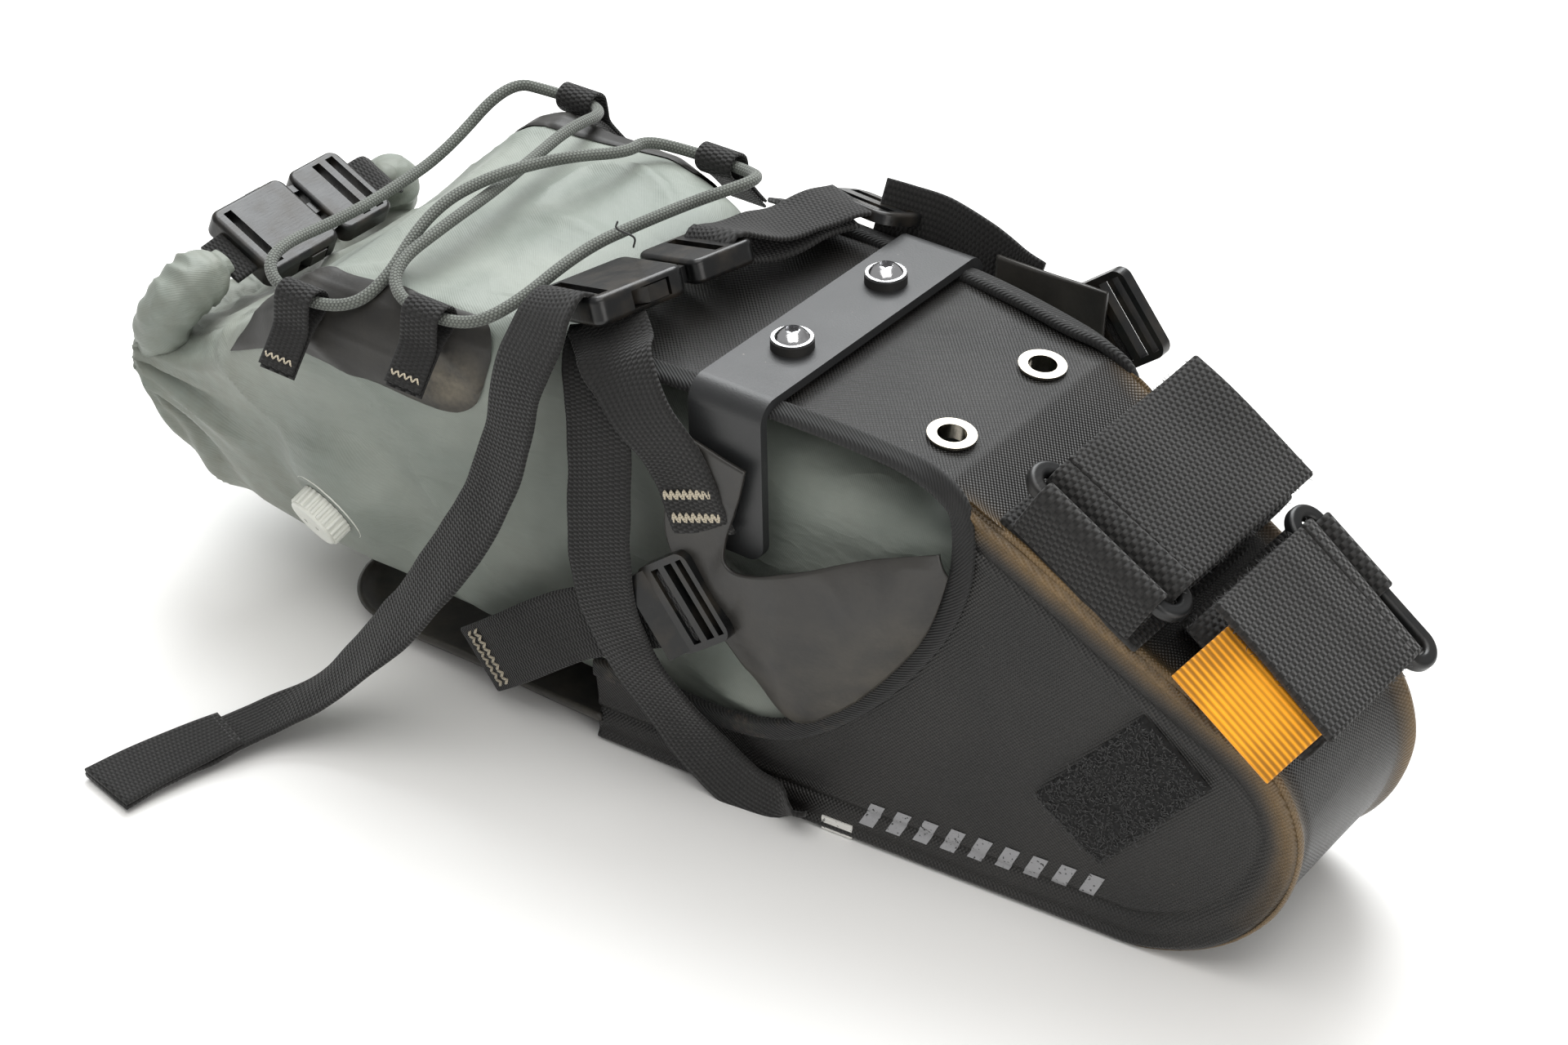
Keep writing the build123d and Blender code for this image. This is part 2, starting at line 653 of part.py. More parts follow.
def pull_tab(reach):
    """Coloured tab sewn under the free end of the lower flap, hanging outwards."""
    tab = Pos(0, 9, 0) * Box(STRAP - 10, 22, 1.8)
    return Pos(2, reach - 4, RING_HEIGHT + FOLD_RADIUS - 2.1) * Rot(-32, 0, 0) * Pos(0, 2, -0.5) * tab


# --- patches on the side panel ---


def side_plane(x):
    """Plane on the right side panel at x: local x to the nose, local y up, local z outwards."""
    slope = (HALF_WIDTH - NOSE_HALF_WIDTH) / (NOSE_X - TAPER_START_X)
    return Plane(origin=(x, -half_width(x), 0), x_dir=(1, slope, 0), z_dir=(slope, -1, 0))


def loop_patch():
    """Rectangle of fuzzy loop tape on the side panel."""
    patch = extrude(Rectangle(54, 28.5), 1.8)
    return side_plane(131) * Pos(0, 57, 0) * Rot(0, 0, 51.5) * patch


def reflective_marks():
    """A row of slanted reflective bars along the lower edge."""
    made = []
    for i in range(9):
        bar = Polyline((0, 0), (5, 0), (9, 9), (4, 9), close=True)
        face = make_face(bar)
        place = side_plane(42 + i * 9.5) * Pos(0, 8 + i * 0.6, 0)
        made.append((place * extrude(face, 0.4)).solid())
    return Compound(children=made)


def seam_label():
    """Small white label caught in the bottom seam."""
    return side_plane(34) * Pos(0, 3, 0.5) * Box(11, 5, 0.8)


# --- dry bag ---


def bag_sections():
    """Cross-sections of the dry bag: (x, half width low, half width high, lowest z, right top z, left top z, radius)."""
    inner = BAG_GAP + CLOTH
    ceiling = TOP_Z - inner - PLATE_THICKNESS - NUT_HEIGHT - 2.5
    nose_top = face_point(132) - inner - PLATE_THICKNESS - 3
    nose_half = half_width(132) - inner - 3
    shoulder_half = half_width(SHOULDER_X) - inner
    slope_half = half_width(SLOPE_START_X + 10) - inner
    middle_half = half_width(0) - inner
    rear_half = half_width(REAR_X + 10) - inner
    return [
        (BAG_FRONT_X, 20, 22, 24, 74, 74, 14),
        (132, nose_half, nose_half, 12, nose_top, nose_top, 16),
        (SHOULDER_X, shoulder_half, shoulder_half, inner, ceiling - 12, ceiling - 12, 22),
        (SLOPE_START_X, slope_half, slope_half, inner, ceiling - 2, ceiling - 2, 26),
        (-18, middle_half, middle_half, inner, ceiling, ceiling, 26),
        (REAR_X, rear_half - 3, rear_half, inner + 2, TOP_Z - inner, TOP_Z - inner, 26),
        (REAR_X - 18, 48, 57, inner + 4, TOP_Z - 1, TOP_Z + 2, 24),
        (-110, 51, 66, 13, TOP_Z - 3, TOP_Z + 5, 20),
        (-168, 55, 72, 22, TOP_Z - 13, TOP_Z - 1, 18),
        (-205, 56, 68, 27, 109, 113, 19),
        (BAG_TAIL_X, 55, 60, 34, 84, 85, 19),
    ]


def bag_at(x):
    """The values of bag_sections between two of its rows, without the x."""
    rows = bag_sections()
    for ahead, behind in zip(rows, rows[1:]):
        if behind[0] <= x <= ahead[0]:
            share = (ahead[0] - x) / (ahead[0] - behind[0])
            return [a + (b - a) * share for a, b in zip(ahead[1:], behind[1:])]
    raise ValueError(x)


def shoulder_point(x, angle, lift, side):
    """A point lift above the bag's rounded top shoulder at x; angle 0 is sideways, 90 is up."""
    _, half, _, high_right, high_left, radius = bag_at(x)
    high = high_left if side > 0 else high_right
    reach = radius + lift
    y = half - radius + reach * cos(radians(angle))
    return (x, side * y, high - radius + reach * sin(radians(angle)))


def bag_solid(grow=0.0):
    """The filled dry bag as a loft of rounded four-sided sections, grown by grow."""
    faces = []
    for x, half_low, half_high, low, high_right, high_left, radius in bag_sections():
        corners = [(-half_low, low), (half_low, low), (half_high, high_left), (-half_high, high_right)]
        face = make_face(Polyline(*corners, close=True))
        face = fillet(face.vertices(), radius)
        if grow:
            face = offset(face, grow)
        faces.append(Plane(origin=(x, 0, 0), x_dir=(0, 1, 0), z_dir=(1, 0, 0)) * face)
    return loft(faces, ruled=True)


def lash_panel(bag, skin, side):
    """Black welded panel over the bag's top shoulder, on the left side when side is 1."""
    zone = box_between((-176, 44, 104), (-84, 95, 175))
    return (skin - bag) & (zone if side > 0 else mirrored(zone))


LOOP_ANGLE = 48
LOOP_EYE = 5.0  # outer radius of the eye that the cord runs through
EYE_CLEARANCE = 1.3  # between the cord and the eye
EYE_LIFT = 1.4  # between the eye and the lash panel
EYE_LENGTH = 11.0
LOOP_X = {
    "lash_loop_front_right": (-110, -1),
    "lash_loop_rear_right": (-160, -1),
    "lash_loop_front_left": (-92, 1),
    "lash_loop_rear_left": (-162, 1),
}


def loop_eye(name):
    """Centre of a lash loop's eye."""
    x, side = LOOP_X[name]
    return shoulder_point(x, LOOP_ANGLE, PANEL_THICKNESS + LOOP_EYE + EYE_LIFT, side)


def lash_loop(name):
    """Webbing loop sewn on a lash panel; the elastic cord runs through its eye."""
    side = LOOP_X[name][1]
    tab = Pos(0, side * 13, -1.6) * Box(EYE_LENGTH, 22, 2.0)
    eye = Rot(0, 90, 0) * Cylinder(LOOP_EYE, EYE_LENGTH)
    hole = Rot(0, 90, 0) * Cylinder(CORD_DIAMETER / 2 + EYE_CLEARANCE, 2 * EYE_LENGTH)
    made = tab + eye - hole
    return Pos(*loop_eye(name)) * Rot(-side * (90 - LOOP_ANGLE + 4), 0, 0) * made


def cord_turn(name, order):
    """Four points of the cord's turn through a loop's eye, running towards -X when order is -1."""
    x, y, z = loop_eye(name)
    side = LOOP_X[name][1]
    before = (x - order * 24, y - side * 10, z + 5)
    after = (x + order * 24, y - side * 10, z + 5)
    return [before, (x - order * 13, y, z), (x + order * 13, y, z), after]


def elastic_cord():
    """Route of the cord laced through the four lash loops; both ends meet in the first eye."""
    x, y, z = loop_eye("lash_loop_front_right")
    first = cord_turn("lash_loop_front_right", -1)
    route = [(x - 0.4, y, z)] + first[2:]
    route += [(-132, -30, 157.5), (-135, -5, 157), (-140, 20, 156.5)]
    route += [(-144, 44, 157)] + cord_turn("lash_loop_rear_left", -1)[1:]
    route += [(-189, 30, 140), (-187, 3, 139), (-185, -24, 140)]
    route += cord_turn("lash_loop_rear_right", 1)
    route += [(-141, -30, 158.5), (-136, -6, 162.5), (-124, 18, 163), (-114, 38, 159)]
    route += cord_turn("lash_loop_front_left", 1)
    route += [(-76, 28, 158), (-80, 4, 159), (-85, -20, 158.5)]
    route += first[:2] + [(x + 0.4, y, z)]
    return route


def cord_radii(points):
    """Radius of each bend: 0.45 of the shorter run over the tangent of half the turn."""
    radii = []
    for before, here, after in zip(points, points[1:], points[2:]):
        back = before - here
        ahead = after - here
        turn = radians(180 - back.get_angle(ahead))
        radii.append(0.45 * min(back.length, ahead.length) * cos(turn / 2) / sin(turn / 2))
    return radii


def cord_solid(route):
    """A round cord: straight runs joined by arcs as large as the runs allow."""
    points = [Vector(*p) for p in route]
    radii = cord_radii(points)
    print("cord radii:", " ".join(f"{r:.0f}" for r in radii))
    edges = []
    at = points[0]
    for before, here, after in zip(points, points[1:], points[2:]):
        back = (before - here).normalized()
        ahead = (after - here).normalized()
        reach = 0.45 * min((before - here).length, (after - here).length)
        start = here + back * reach
        end = here + ahead * reach
        edges.append(Line(at, start))
        edges.append(TangentArc(start, end, tangent=here - start))
        at = end
    edges.append(Line(at, points[-1]))
    path = Wire(edges)
    cord = sweep(Plane(origin=path @ 0, z_dir=path % 0) * Circle(CORD_DIAMETER / 2), path)
    print(f"cord {path.length:.0f} mm, volume share {cord.volume / (3.1416 * CORD_DIAMETER**2 / 4 * path.length):.3f}")
    return cord


VALVE_AXIS = Vector(-0.18, -0.88, -0.44).normalized()
VALVE_PLANE = Plane(origin=(-164.5, -61.8, 55.5), x_dir=(1, -0.2, 0), z_dir=VALVE_AXIS)


def valve_base():
    """Welded valve flange with the stub that the cap turns on."""
    flange = Pos(0, 0, -2) * Cylinder(VALVE_DIAMETER / 2 + 4, VALVE_BASE_HEIGHT + 2, align=(Align.CENTER, Align.CENTER, Align.MIN))
    stub = Cylinder(5, VALVE_BASE_HEIGHT + 4, align=(Align.CENTER, Align.CENTER, Align.MIN))
    return VALVE_PLANE * (flange + stub)


def valve_cap():
    """Ribbed turning cap with two small vent holes in its face."""
    low = VALVE_BASE_HEIGHT + VALVE_GAP
    cap = Pos(0, 0, low) * Cylinder(VALVE_DIAMETER / 2 - 0.8, VALVE_CAP_HEIGHT, align=(Align.CENTER, Align.CENTER, Align.MIN))
    cap = fillet(cap.faces().sort_by(Axis.Z)[-1].edges(), 1)
    for i in range(24):
        rib = Pos(VALVE_DIAMETER / 2 - 0.8, 0, low + VALVE_CAP_HEIGHT / 2 - 0.6) * Cylinder(0.8, VALVE_CAP_HEIGHT - 1.2)
        cap += Rot(0, 0, i * 15) * rib
    cap -= Cylinder(5 + 0.3, 2 * (VALVE_BASE_HEIGHT + 4.4))
    for x in (-3.2, 3.2):
        cap -= Pos(x, 0, low + VALVE_CAP_HEIGHT) * Cylinder(0.9, 6)
    return VALVE_PLANE * cap


ROLL_BASE = (-254, 77)  # x and z of the rolled mouth behind the bag
ROLL_LEAN = radians(64.5)  # the plane of the rolled mouth leans forward by this much from level
ROLL_UP = (cos(ROLL_LEAN), 0, sin(ROLL_LEAN))
ROLL_ACROSS = (-sin(ROLL_LEAN), 0, cos(ROLL_LEAN))
ROLL_WIDTH = 21.0
ROLL_THICKNESS = 9.0
ROLL_PATH_RIGHT = [(-20, 0), (-38, 1), (-51, 7), (-56, 17), (-53, 27), (-44, 33), (-31, 35)]
ROLL_PATH_LEFT = [(20, 0), (40, 1), (52, 7), (58, 17), (56, 27), (49, 34)]
CLOSURE_START_Y = 37.0


def roll_point(y, up):
    """A point of the rolled mouth: the roll lies in a plane that leans forward."""
    return (ROLL_BASE[0] + up * ROLL_UP[0], y, ROLL_BASE[1] + up * ROLL_UP[2])


CLOSURE_BUCKLE = Plane(origin=roll_point(CLOSURE_START_Y, 36), x_dir=(0, -1, 0), z_dir=ROLL_UP).location


def closure_roll():
    """Rolled mouth of the bag: it lies across the tail and turns up and inwards at both ends."""
    route = list(reversed(ROLL_PATH_RIGHT)) + ROLL_PATH_LEFT
    return ribbon([(roll_point(y, up), ROLL_ACROSS) for y, up in route], ROLL_WIDTH, ROLL_THICKNESS)


def closure_webbing():
    """Two short bands that join the rolled mouth's ends to the closure buckle."""
    made = []
    buckle_end = CLOSURE_START_Y - PLUG_LENGTH - PLUG_GAP - SOCKET_LENGTH
    for path, end in ((ROLL_PATH_RIGHT, buckle_end - 0.8), (ROLL_PATH_LEFT, CLOSURE_START_Y + 1.5)):
        before, last = Vector(*path[-2]), Vector(*path[-1])
        start = last + (last - before).normalized() * 0.8
        stations = [(roll_point(start.X, start.Y), ROLL_ACROSS), (roll_point(end, 36), ROLL_ACROSS)]
        made.append(ribbon(stations, ROLL_WIDTH - 4, WEB_THICKNESS).solid())
    return Compound(children=made)


def build():
    """Make every node and write it."""
    panel = side_panel()
    gusset = gusset_panel()
    binding = edge_binding(panel, gusset)
    parts = {
        "side_panel_right": panel,
        "side_panel_left": mirrored(panel),
        "gusset_panel": gusset,
        "bottom_panel": bottom_panel(),
        "rear_flap": rear_flap(),
        "edge_binding_right": binding,
        "edge_binding_left": mirrored(binding),
        "backing_plate": backing_plate(),
        "nose_stiffener": nose_stiffener(),
        "eyelets": eyelets(),
        "saddle_bracket": saddle_bracket(),
        "bracket_screws": bracket_screws(),
        "bracket_washers": ring_pair(
            WASHER_OUTER / 2, SCREW_DIAMETER / 2 + 0.1, WASHER_THICKNESS, screw_seat()
        ),
        "bracket_nuts": ring_pair(NUT_WIDTH / 2, SCREW_DIAMETER / 2, NUT_HEIGHT, nut_top(), 6),
        "wing_tab_right": wing_tab_right(),
        "wing_tab_left": wing_tab_left(),
        "wing_webbing_right": ribbon(wing_webbing_right(), WEB, WEB_THICKNESS),
        "wing_webbing_left": ribbon(wing_webbing_left(), WEB, WEB_THICKNESS),
        "side_webbing_right": ribbon(side_webbing(), WEB, WEB_THICKNESS),
        "side_webbing_left": mirrored(ribbon(side_webbing(), WEB, WEB_THICKNESS)),
        "flap_webbing_right": ribbon(flap_webbing_right(), WEB, WEB_THICKNESS),
        "flap_webbing_left": ribbon(flap_webbing_left(), WEB, WEB_THICKNESS),
        "strap_tail": ribbon(strap_tail(), WEB, WEB_THICKNESS),
        "top_webbing": ribbon(top_webbing(), WEB, 2 * WEB_THICKNESS),
        "slider": SLIDER_PLACE * slider(),
        "ladder_lock_right": LOCK_RIGHT * ladder_lock(),
        "ladder_lock_left": LOCK_LEFT * ladder_lock(),
        "loop_patch": loop_patch(),
        "reflective_marks": reflective_marks(),
        "seam_label": seam_label(),
    }
    for name, place in (("main", MAIN_BUCKLE), ("closure", CLOSURE_BUCKLE)):
        parts[f"{name}_buckle_socket"] = place * buckle_socket()
        parts[f"{name}_buckle_plug"] = place * buckle_plug()
        parts[f"{name}_prong_front"] = place * buckle_prong(1)
        parts[f"{name}_prong_rear"] = place * buckle_prong(-1)
    lower_room = (BROW_X - LOWER_X) / cos(FACE_TILT) - 2
    straps = (
        ("upper", UPPER_X, UPPER_REACH, STRAP, strap_plane(UPPER_X)),
        ("lower", LOWER_X, LOWER_REACH, lower_room, strap_plane(LOWER_X, LOWER_EXTRA_TILT, LOWER_LIFT)),
    )
    for name, x, reach, room, plane in straps:
        pieces = {
            "anchor": strap_anchor(x, room),
            "ring": strap_ring(x),
            "band": strap_band(x, reach),
            "flap": strap_flap(x, reach),
        }
        if name == "lower":
            pieces["pull_tab"] = pull_tab(reach)
        for piece, shape in pieces.items():
            placed = plane * shape
            parts[f"{name}_strap_{piece}"] = mirrored(placed) if name == "lower" else placed
    bag = bag_solid()
    skin = bag_solid(PANEL_THICKNESS)
    parts["dry_bag_body"] = bag
    parts["lash_panel_right"] = lash_panel(bag, skin, -1)
    parts["lash_panel_left"] = lash_panel(bag, skin, 1)
    for name in LOOP_X:
        parts[name] = lash_loop(name)
    parts["elastic_cord"] = cord_solid(elastic_cord())
    parts["valve_base"] = valve_base() - bag
    parts["valve_cap"] = valve_cap()
    parts["closure_roll"] = closure_roll()
    parts["closure_webbing"] = closure_webbing()
    for name, shape in parts.items():
        save(name, shape)
    print(len(parts), "nodes")


build()
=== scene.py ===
# %% [markdown]
# A bikepacking saddle bag: a stiff wedge-shaped holster carries a soft roll-top dry bag.
# The hard fittings come from the CAD frame. Everything sewn is built here as surfaces.
# Each surface is a function of two parameters on a grid, worked out with numpy in
# millimetres and put into the mesh in metres.

import json
from itertools import product
from math import atan2, cos, pi, radians, sin

import bpy
import numpy as np
from mathutils import Matrix, Vector


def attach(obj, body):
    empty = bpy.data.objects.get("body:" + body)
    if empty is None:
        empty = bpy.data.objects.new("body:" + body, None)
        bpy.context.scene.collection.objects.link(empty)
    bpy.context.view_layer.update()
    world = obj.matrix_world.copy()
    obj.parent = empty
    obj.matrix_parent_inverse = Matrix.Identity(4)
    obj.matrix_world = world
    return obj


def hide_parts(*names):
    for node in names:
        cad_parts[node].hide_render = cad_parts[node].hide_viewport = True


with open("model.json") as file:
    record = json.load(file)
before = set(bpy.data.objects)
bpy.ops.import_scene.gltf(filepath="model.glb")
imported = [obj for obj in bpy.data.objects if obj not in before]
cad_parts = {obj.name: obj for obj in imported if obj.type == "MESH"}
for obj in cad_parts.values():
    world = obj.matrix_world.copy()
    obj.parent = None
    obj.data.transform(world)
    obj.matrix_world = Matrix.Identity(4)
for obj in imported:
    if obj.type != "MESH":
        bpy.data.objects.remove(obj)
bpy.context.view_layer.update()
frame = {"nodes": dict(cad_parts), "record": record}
print("CAD nodes:", len(frame["nodes"]))

# %% [markdown]
# The camera stands above the front right corner. Its matrix is written out from the
# direction it looks along, so that a small roll can be added. The lamps are wide and soft,
# as in a white studio, and the floor is one pale sheet.

# %% Camera, lamps and floor
AZIMUTH, ELEVATION, ROLL = radians(37.6), radians(33.9), radians(-1.0)
CAMERA_PLACE = (0.5103, -0.6923, 0.6563)
LENS = 75.08


def add_camera():
    """Columns right, up, back: back points from the object to the camera, then the roll turns right
    and up."""
    back = Vector((sin(AZIMUTH) * cos(ELEVATION), -cos(AZIMUTH) * cos(ELEVATION), sin(ELEVATION)))
    level = Vector((cos(AZIMUTH), sin(AZIMUTH), 0))
    right = level * cos(ROLL) + back.cross(level) * sin(ROLL)
    up = back.cross(right)
    camera = bpy.data.objects.new("camera", bpy.data.cameras.new("camera"))
    camera.data.lens = LENS
    camera.data.sensor_width = 36
    turned = Matrix((right, up, back)).transposed().to_4x4()
    camera.matrix_world = Matrix.Translation(CAMERA_PLACE) @ turned
    bpy.context.scene.collection.objects.link(camera)
    bpy.context.scene.camera = camera


def add_lamp(name, place, aim, size, watts, tint):
    """A square area lamp at place that faces aim."""
    lamp = bpy.data.objects.new(name, bpy.data.lights.new(name, "AREA"))
    lamp.data.size = size
    lamp.data.energy = watts
    lamp.data.color = tint
    lamp.location = place
    lamp.rotation_euler = (Vector(aim) - Vector(place)).to_track_quat("-Z", "Y").to_euler()
    bpy.context.scene.collection.objects.link(lamp)


add_camera()
add_lamp("window", (-0.6, 0.9, 1.5), (0, 0, 0.05), 1.3, 40, (0.97, 0.99, 1.0))
add_lamp("ceiling", (0.3, -0.3, 1.9), (0, 0, 0.05), 1.7, 22, (1.0, 0.99, 0.97))
add_lamp("front_fill", (1.4, -0.6, 0.5), (0.1, 0, 0.05), 0.9, 6, (1.0, 0.98, 0.95))
world = bpy.data.worlds.new("studio")
world.use_nodes = True
world.node_tree.nodes["Background"].inputs["Color"].default_value = (1, 1, 1, 1)
world.node_tree.nodes["Background"].inputs["Strength"].default_value = 0.42
bpy.context.scene.world = world
bpy.context.scene.view_settings.view_transform = "Standard"

# %% [markdown]
# Shader arithmetic is written as Python expressions. A Value wraps one output socket, and
# an operator on it adds a Math node. Any other node comes from Paint.add.


# %% Shader values
class Value:
    """One number of a shader."""

    def __init__(self, paint, socket):
        self.paint = paint
        self.socket = socket

    def op(self, operation, *others):
        inputs = dict(enumerate((self, *others)))
        return Value(self.paint, self.paint.add("ShaderNodeMath", {"operation": operation},
            inputs).outputs[0])

    def __add__(self, other):
        return self.op("ADD", other)

    def __sub__(self, other):
        return self.op("SUBTRACT", other)

    def __rsub__(self, other):
        return self * -1 + other

    def __mul__(self, other):
        return self.op("MULTIPLY", other)

    def __truediv__(self, other):
        return self.op("DIVIDE", other)

    def __pow__(self, other):
        return self.op("POWER", other)

    __radd__ = __add__
    __rmul__ = __mul__

    def wave(self, pitch):
        """Half a cosine swing between 0 and 1 that repeats every pitch."""
        return (self * (2 * pi / pitch)).op("COSINE") * 0.5 + 0.5

    def ramp(self, low, high):
        """0 below low, 1 above high, smooth between."""
        settings = {"interpolation_type": "SMOOTHSTEP"}
        inputs = {"Value": self, "From Min": low, "From Max": high}
        return Value(self.paint, self.paint.add("ShaderNodeMapRange", settings, inputs).outputs[0])

    def clip(self):
        """Held between 0 and 1."""
        return self.op("MAXIMUM", 0).op("MINIMUM", 1)


class Paint:
    """A material under construction: its Principled shader and the values that feed it."""

    def __init__(self, name, **constants):
        self.material = bpy.data.materials.new(name)
        self.material.use_nodes = True
        self.tree = self.material.node_tree
        self.shader = self.tree.nodes["Principled BSDF"]
        for socket, value in constants.items():
            self.shader.inputs[socket.replace("_", " ")].default_value = value

    def put(self, socket, value):
        if isinstance(value, Value):
            self.tree.links.new(value.socket, socket)
        elif isinstance(value, bpy.types.NodeSocket):
            self.tree.links.new(value, socket)
        else:
            socket.default_value = value

    def add(self, kind, settings, inputs):
        node = self.tree.nodes.new(kind)
        for key, value in settings.items():
            setattr(node, key, value)
        for key, value in inputs.items():
            self.put(node.inputs[key], value)
        return node

    def feed(self, **inputs):
        for key, value in inputs.items():
            self.put(self.shader.inputs[key.replace("_", " ")], value)
        return self

    def coords(self, kind):
        """Three values in millimetres from the UV map or the object's own axes."""
        vector = self.add("ShaderNodeTexCoord", {}, {}).outputs[kind]
        parts = self.add("ShaderNodeSeparateXYZ", {}, {0: vector})
        return [Value(self, output) * 1000 for output in parts.outputs]

    def point(self, x, y, z=0.0):
        return self.add("ShaderNodeCombineXYZ", {}, {0: x, 1: y, 2: z}).outputs[0]

    def noise(self, size, vector, detail=3.0):
        """Cloud noise between about 0.2 and 0.8, with blobs of that size in millimetres."""
        inputs = {"Vector": vector, "Scale": 1 / size, "Detail": detail}
        return Value(self, self.add("ShaderNodeTexNoise", {}, inputs).outputs["Fac"])

    def attribute(self, name):
        return Value(self, self.add("ShaderNodeAttribute", {"attribute_name": name}, {}).outputs["Fac"])

    def mix(self, share, first, second):
        """Colour between first and second."""
        inputs = {0: share, 6: first, 7: second}
        return self.add("ShaderNodeMix", {"data_type": "RGBA"}, inputs).outputs[2]

    def bump(self, height, strength=1.0):
        """Normal from a height in millimetres."""
        inputs = {"Height": height, "Distance": 0.001, "Strength": strength}
        return self.add("ShaderNodeBump", {}, inputs).outputs[0]


def grey(value, warm=0.0):
    """A nearly neutral colour; warm above 0 turns it brown, below 0 blue."""
    return (value * (1 + warm), value, value * (1 - warm), 1)


print("shader helpers ready")

# %% [markdown]
# Cloth shows its threads. A plain weave is a chessboard of bumps, a twill is slanted
# ribs, and webbing is rows of short ribs that shift by half a rib from warp to warp.
# Each pattern follows the piece's own UV map, which is in metres along and across.


# %% Cloth finishes
def weave_height(u, v, pitch):
    """Chessboard of bumps: one half plus half the product of two cosines."""
    return (u * (2 * pi / pitch)).op("COSINE") * (v * (2 * pi / pitch)).op("COSINE") * 0.5 + 0.5


def coated_cloth(name, dark, light, pitch, depth, rough):
    """Coated cloth of the holster: fine weave under a dull coat, with a painted gold-brown sheen along the
    seam ridge, partly wear.
    """
    paint = Paint(name, Coat_Weight=0.12, Coat_Roughness=0.3, **{"Specular_IOR_Level": 0.4})
    u, v, _ = paint.coords("UV")
    x, y, z = paint.coords("Object")
    spot = paint.point(x, y, z)
    cloud = paint.noise(38, spot)
    grain = paint.noise(3.0, spot, 5)
    # Painted sheen: the ridge mask and noise say where the seam ridge turns gold-brown, a painted highlight
    # that is partly wear.
    wear_and_sheen = (paint.attribute("ridge") * (cloud * 1.6 + grain * 0.5 - 0.45)).clip()
    body = paint.mix(cloud.ramp(0.3, 0.7), dark, light)
    speck = paint.noise(1.7, spot, 1).ramp(0.76, 0.8) * paint.noise(23, spot).ramp(0.55, 0.66)
    net = weave_height(u, v, pitch)
    body = paint.mix(net * 0.75, grey(0.004), body)
    # The gold-brown colour is a painted highlight on the seam ridge, partly wear.
    coloured = paint.mix(wear_and_sheen, body, (0.24, 0.15, 0.06, 1))
    coloured = paint.mix(speck * 0.5, coloured, grey(0.28, 0.1))
    height = net * depth + grain * 0.03 + cloud * 0.5
    paint.feed(Base_Color=coloured, Roughness=cloud * 0.22 + rough + grain * 0.08 - wear_and_sheen * 0.08)
    return paint.feed(Normal=paint.bump(height)).material


def ribbed_web(name, colour, pitch, column, depth, fuzz=0.35):
    """Webbing: ribs across the band, shifted by half a rib in every second warp column, with cloudy dust in
    its tone.
    """
    paint = Paint(name, Sheen_Weight=fuzz, Sheen_Roughness=0.5, **{"Specular_IOR_Level": 0.35})
    u, v, _ = paint.coords("UV")
    x, y, z = paint.coords("Object")
    spot = paint.point(x, y, z)
    odd = (v / column + 0.5).op("FLOOR").op("FLOORED_MODULO", 2)
    rib = (u + odd * (pitch / 2)).wave(pitch)
    warp = v.wave(column)
    dust = paint.noise(21, spot)
    lint = paint.noise(1.2, spot, 4)
    tone = rib * 0.5 + warp * 0.25 + dust * 0.55
    low = tuple(0.45 * c for c in colour[:3]) + (1,)
    high = tuple(1.5 * c for c in colour[:3]) + (1,)
    height = rib * depth + warp * depth * 0.4 + lint * 0.06
    paint.feed(Base_Color=paint.mix(tone.ramp(0.25, 1.05), low, high), Roughness=lint * 0.25 + 0.62)
    return paint.feed(Normal=paint.bump(height)).material


def twill(name, colour, pitch, depth):
    """Slanted ribs: a wave of the sum of both coordinates."""
    paint = Paint(name, Sheen_Weight=0.08, Sheen_Roughness=0.5)
    u, v, _ = paint.coords("UV")
    x, y, z = paint.coords("Object")
    spot = paint.point(x, y, z)
    rib = (u + v * 1.4).wave(pitch)
    # On the binding this mask marks wear only, as browner patches lower down.
    wear_and_sheen = (paint.noise(16, spot) * 1.2 + paint.noise(2.5, spot, 4) * 0.8).ramp(1.02, 1.35)
    wear_and_sheen = wear_and_sheen * paint.attribute("ridge")
    body = paint.mix(rib, tuple(0.5 * c for c in colour[:3]) + (1,),
        tuple(1.5 * c for c in colour[:3]) + (1,))
    paint.feed(Base_Color=paint.mix(wear_and_sheen, body, (0.05, 0.036, 0.024, 1)), Roughness=0.72 - wear_and_sheen * 0.2)
    return paint.feed(Normal=paint.bump(rib * depth + paint.noise(2.5, spot) * 0.1)).material


def bag_cloth():
    """Sage coated cloth: a very fine twill, blotches where the coat has rubbed, and noisy grey-brown
    darkening from the dirt attribute, which on the bag grows towards the tail and towards the bottom."""
    paint = Paint("sage_bag_cloth", Sheen_Weight=0.05, Sheen_Roughness=0.5, **{"Specular_IOR_Level": 0.4})
    u, v, _ = paint.coords("UV")
    x, y, z = paint.coords("Object")
    spot = paint.point(x, y, z)
    blotch = paint.noise(46, spot, 5)
    fine = paint.noise(6, spot, 6)
    threads = (u + v).wave(0.9)
    body = paint.mix(blotch.ramp(0.32, 0.68), (0.215, 0.243, 0.215, 1), (0.30, 0.325, 0.29, 1))
    body = paint.mix(threads * 0.16, body, (0.2, 0.24, 0.22, 1))
    # On the bag this mask darkens the cloth to grey-brown, more towards the tail and towards the bottom.
    dirt = paint.attribute("dirt") * (fine * 1.3 + blotch * 0.7 - 0.55).clip()
    body = paint.mix(dirt.clip(), body, (0.16, 0.155, 0.12, 1))
    crease = paint.noise(26, paint.point(x * 0.5 + y * 0.25, y * 0.7, z * 1.5), 4)
    fold = (crease - 0.5).op("ABSOLUTE") * -7 + 1
    height = threads * 0.05 + fold.clip() * 0.55 + fine * 0.25
    paint.feed(Base_Color=body, Roughness=blotch * 0.2 + 0.42)
    return paint.feed(Normal=paint.bump(height, 0.8)).material


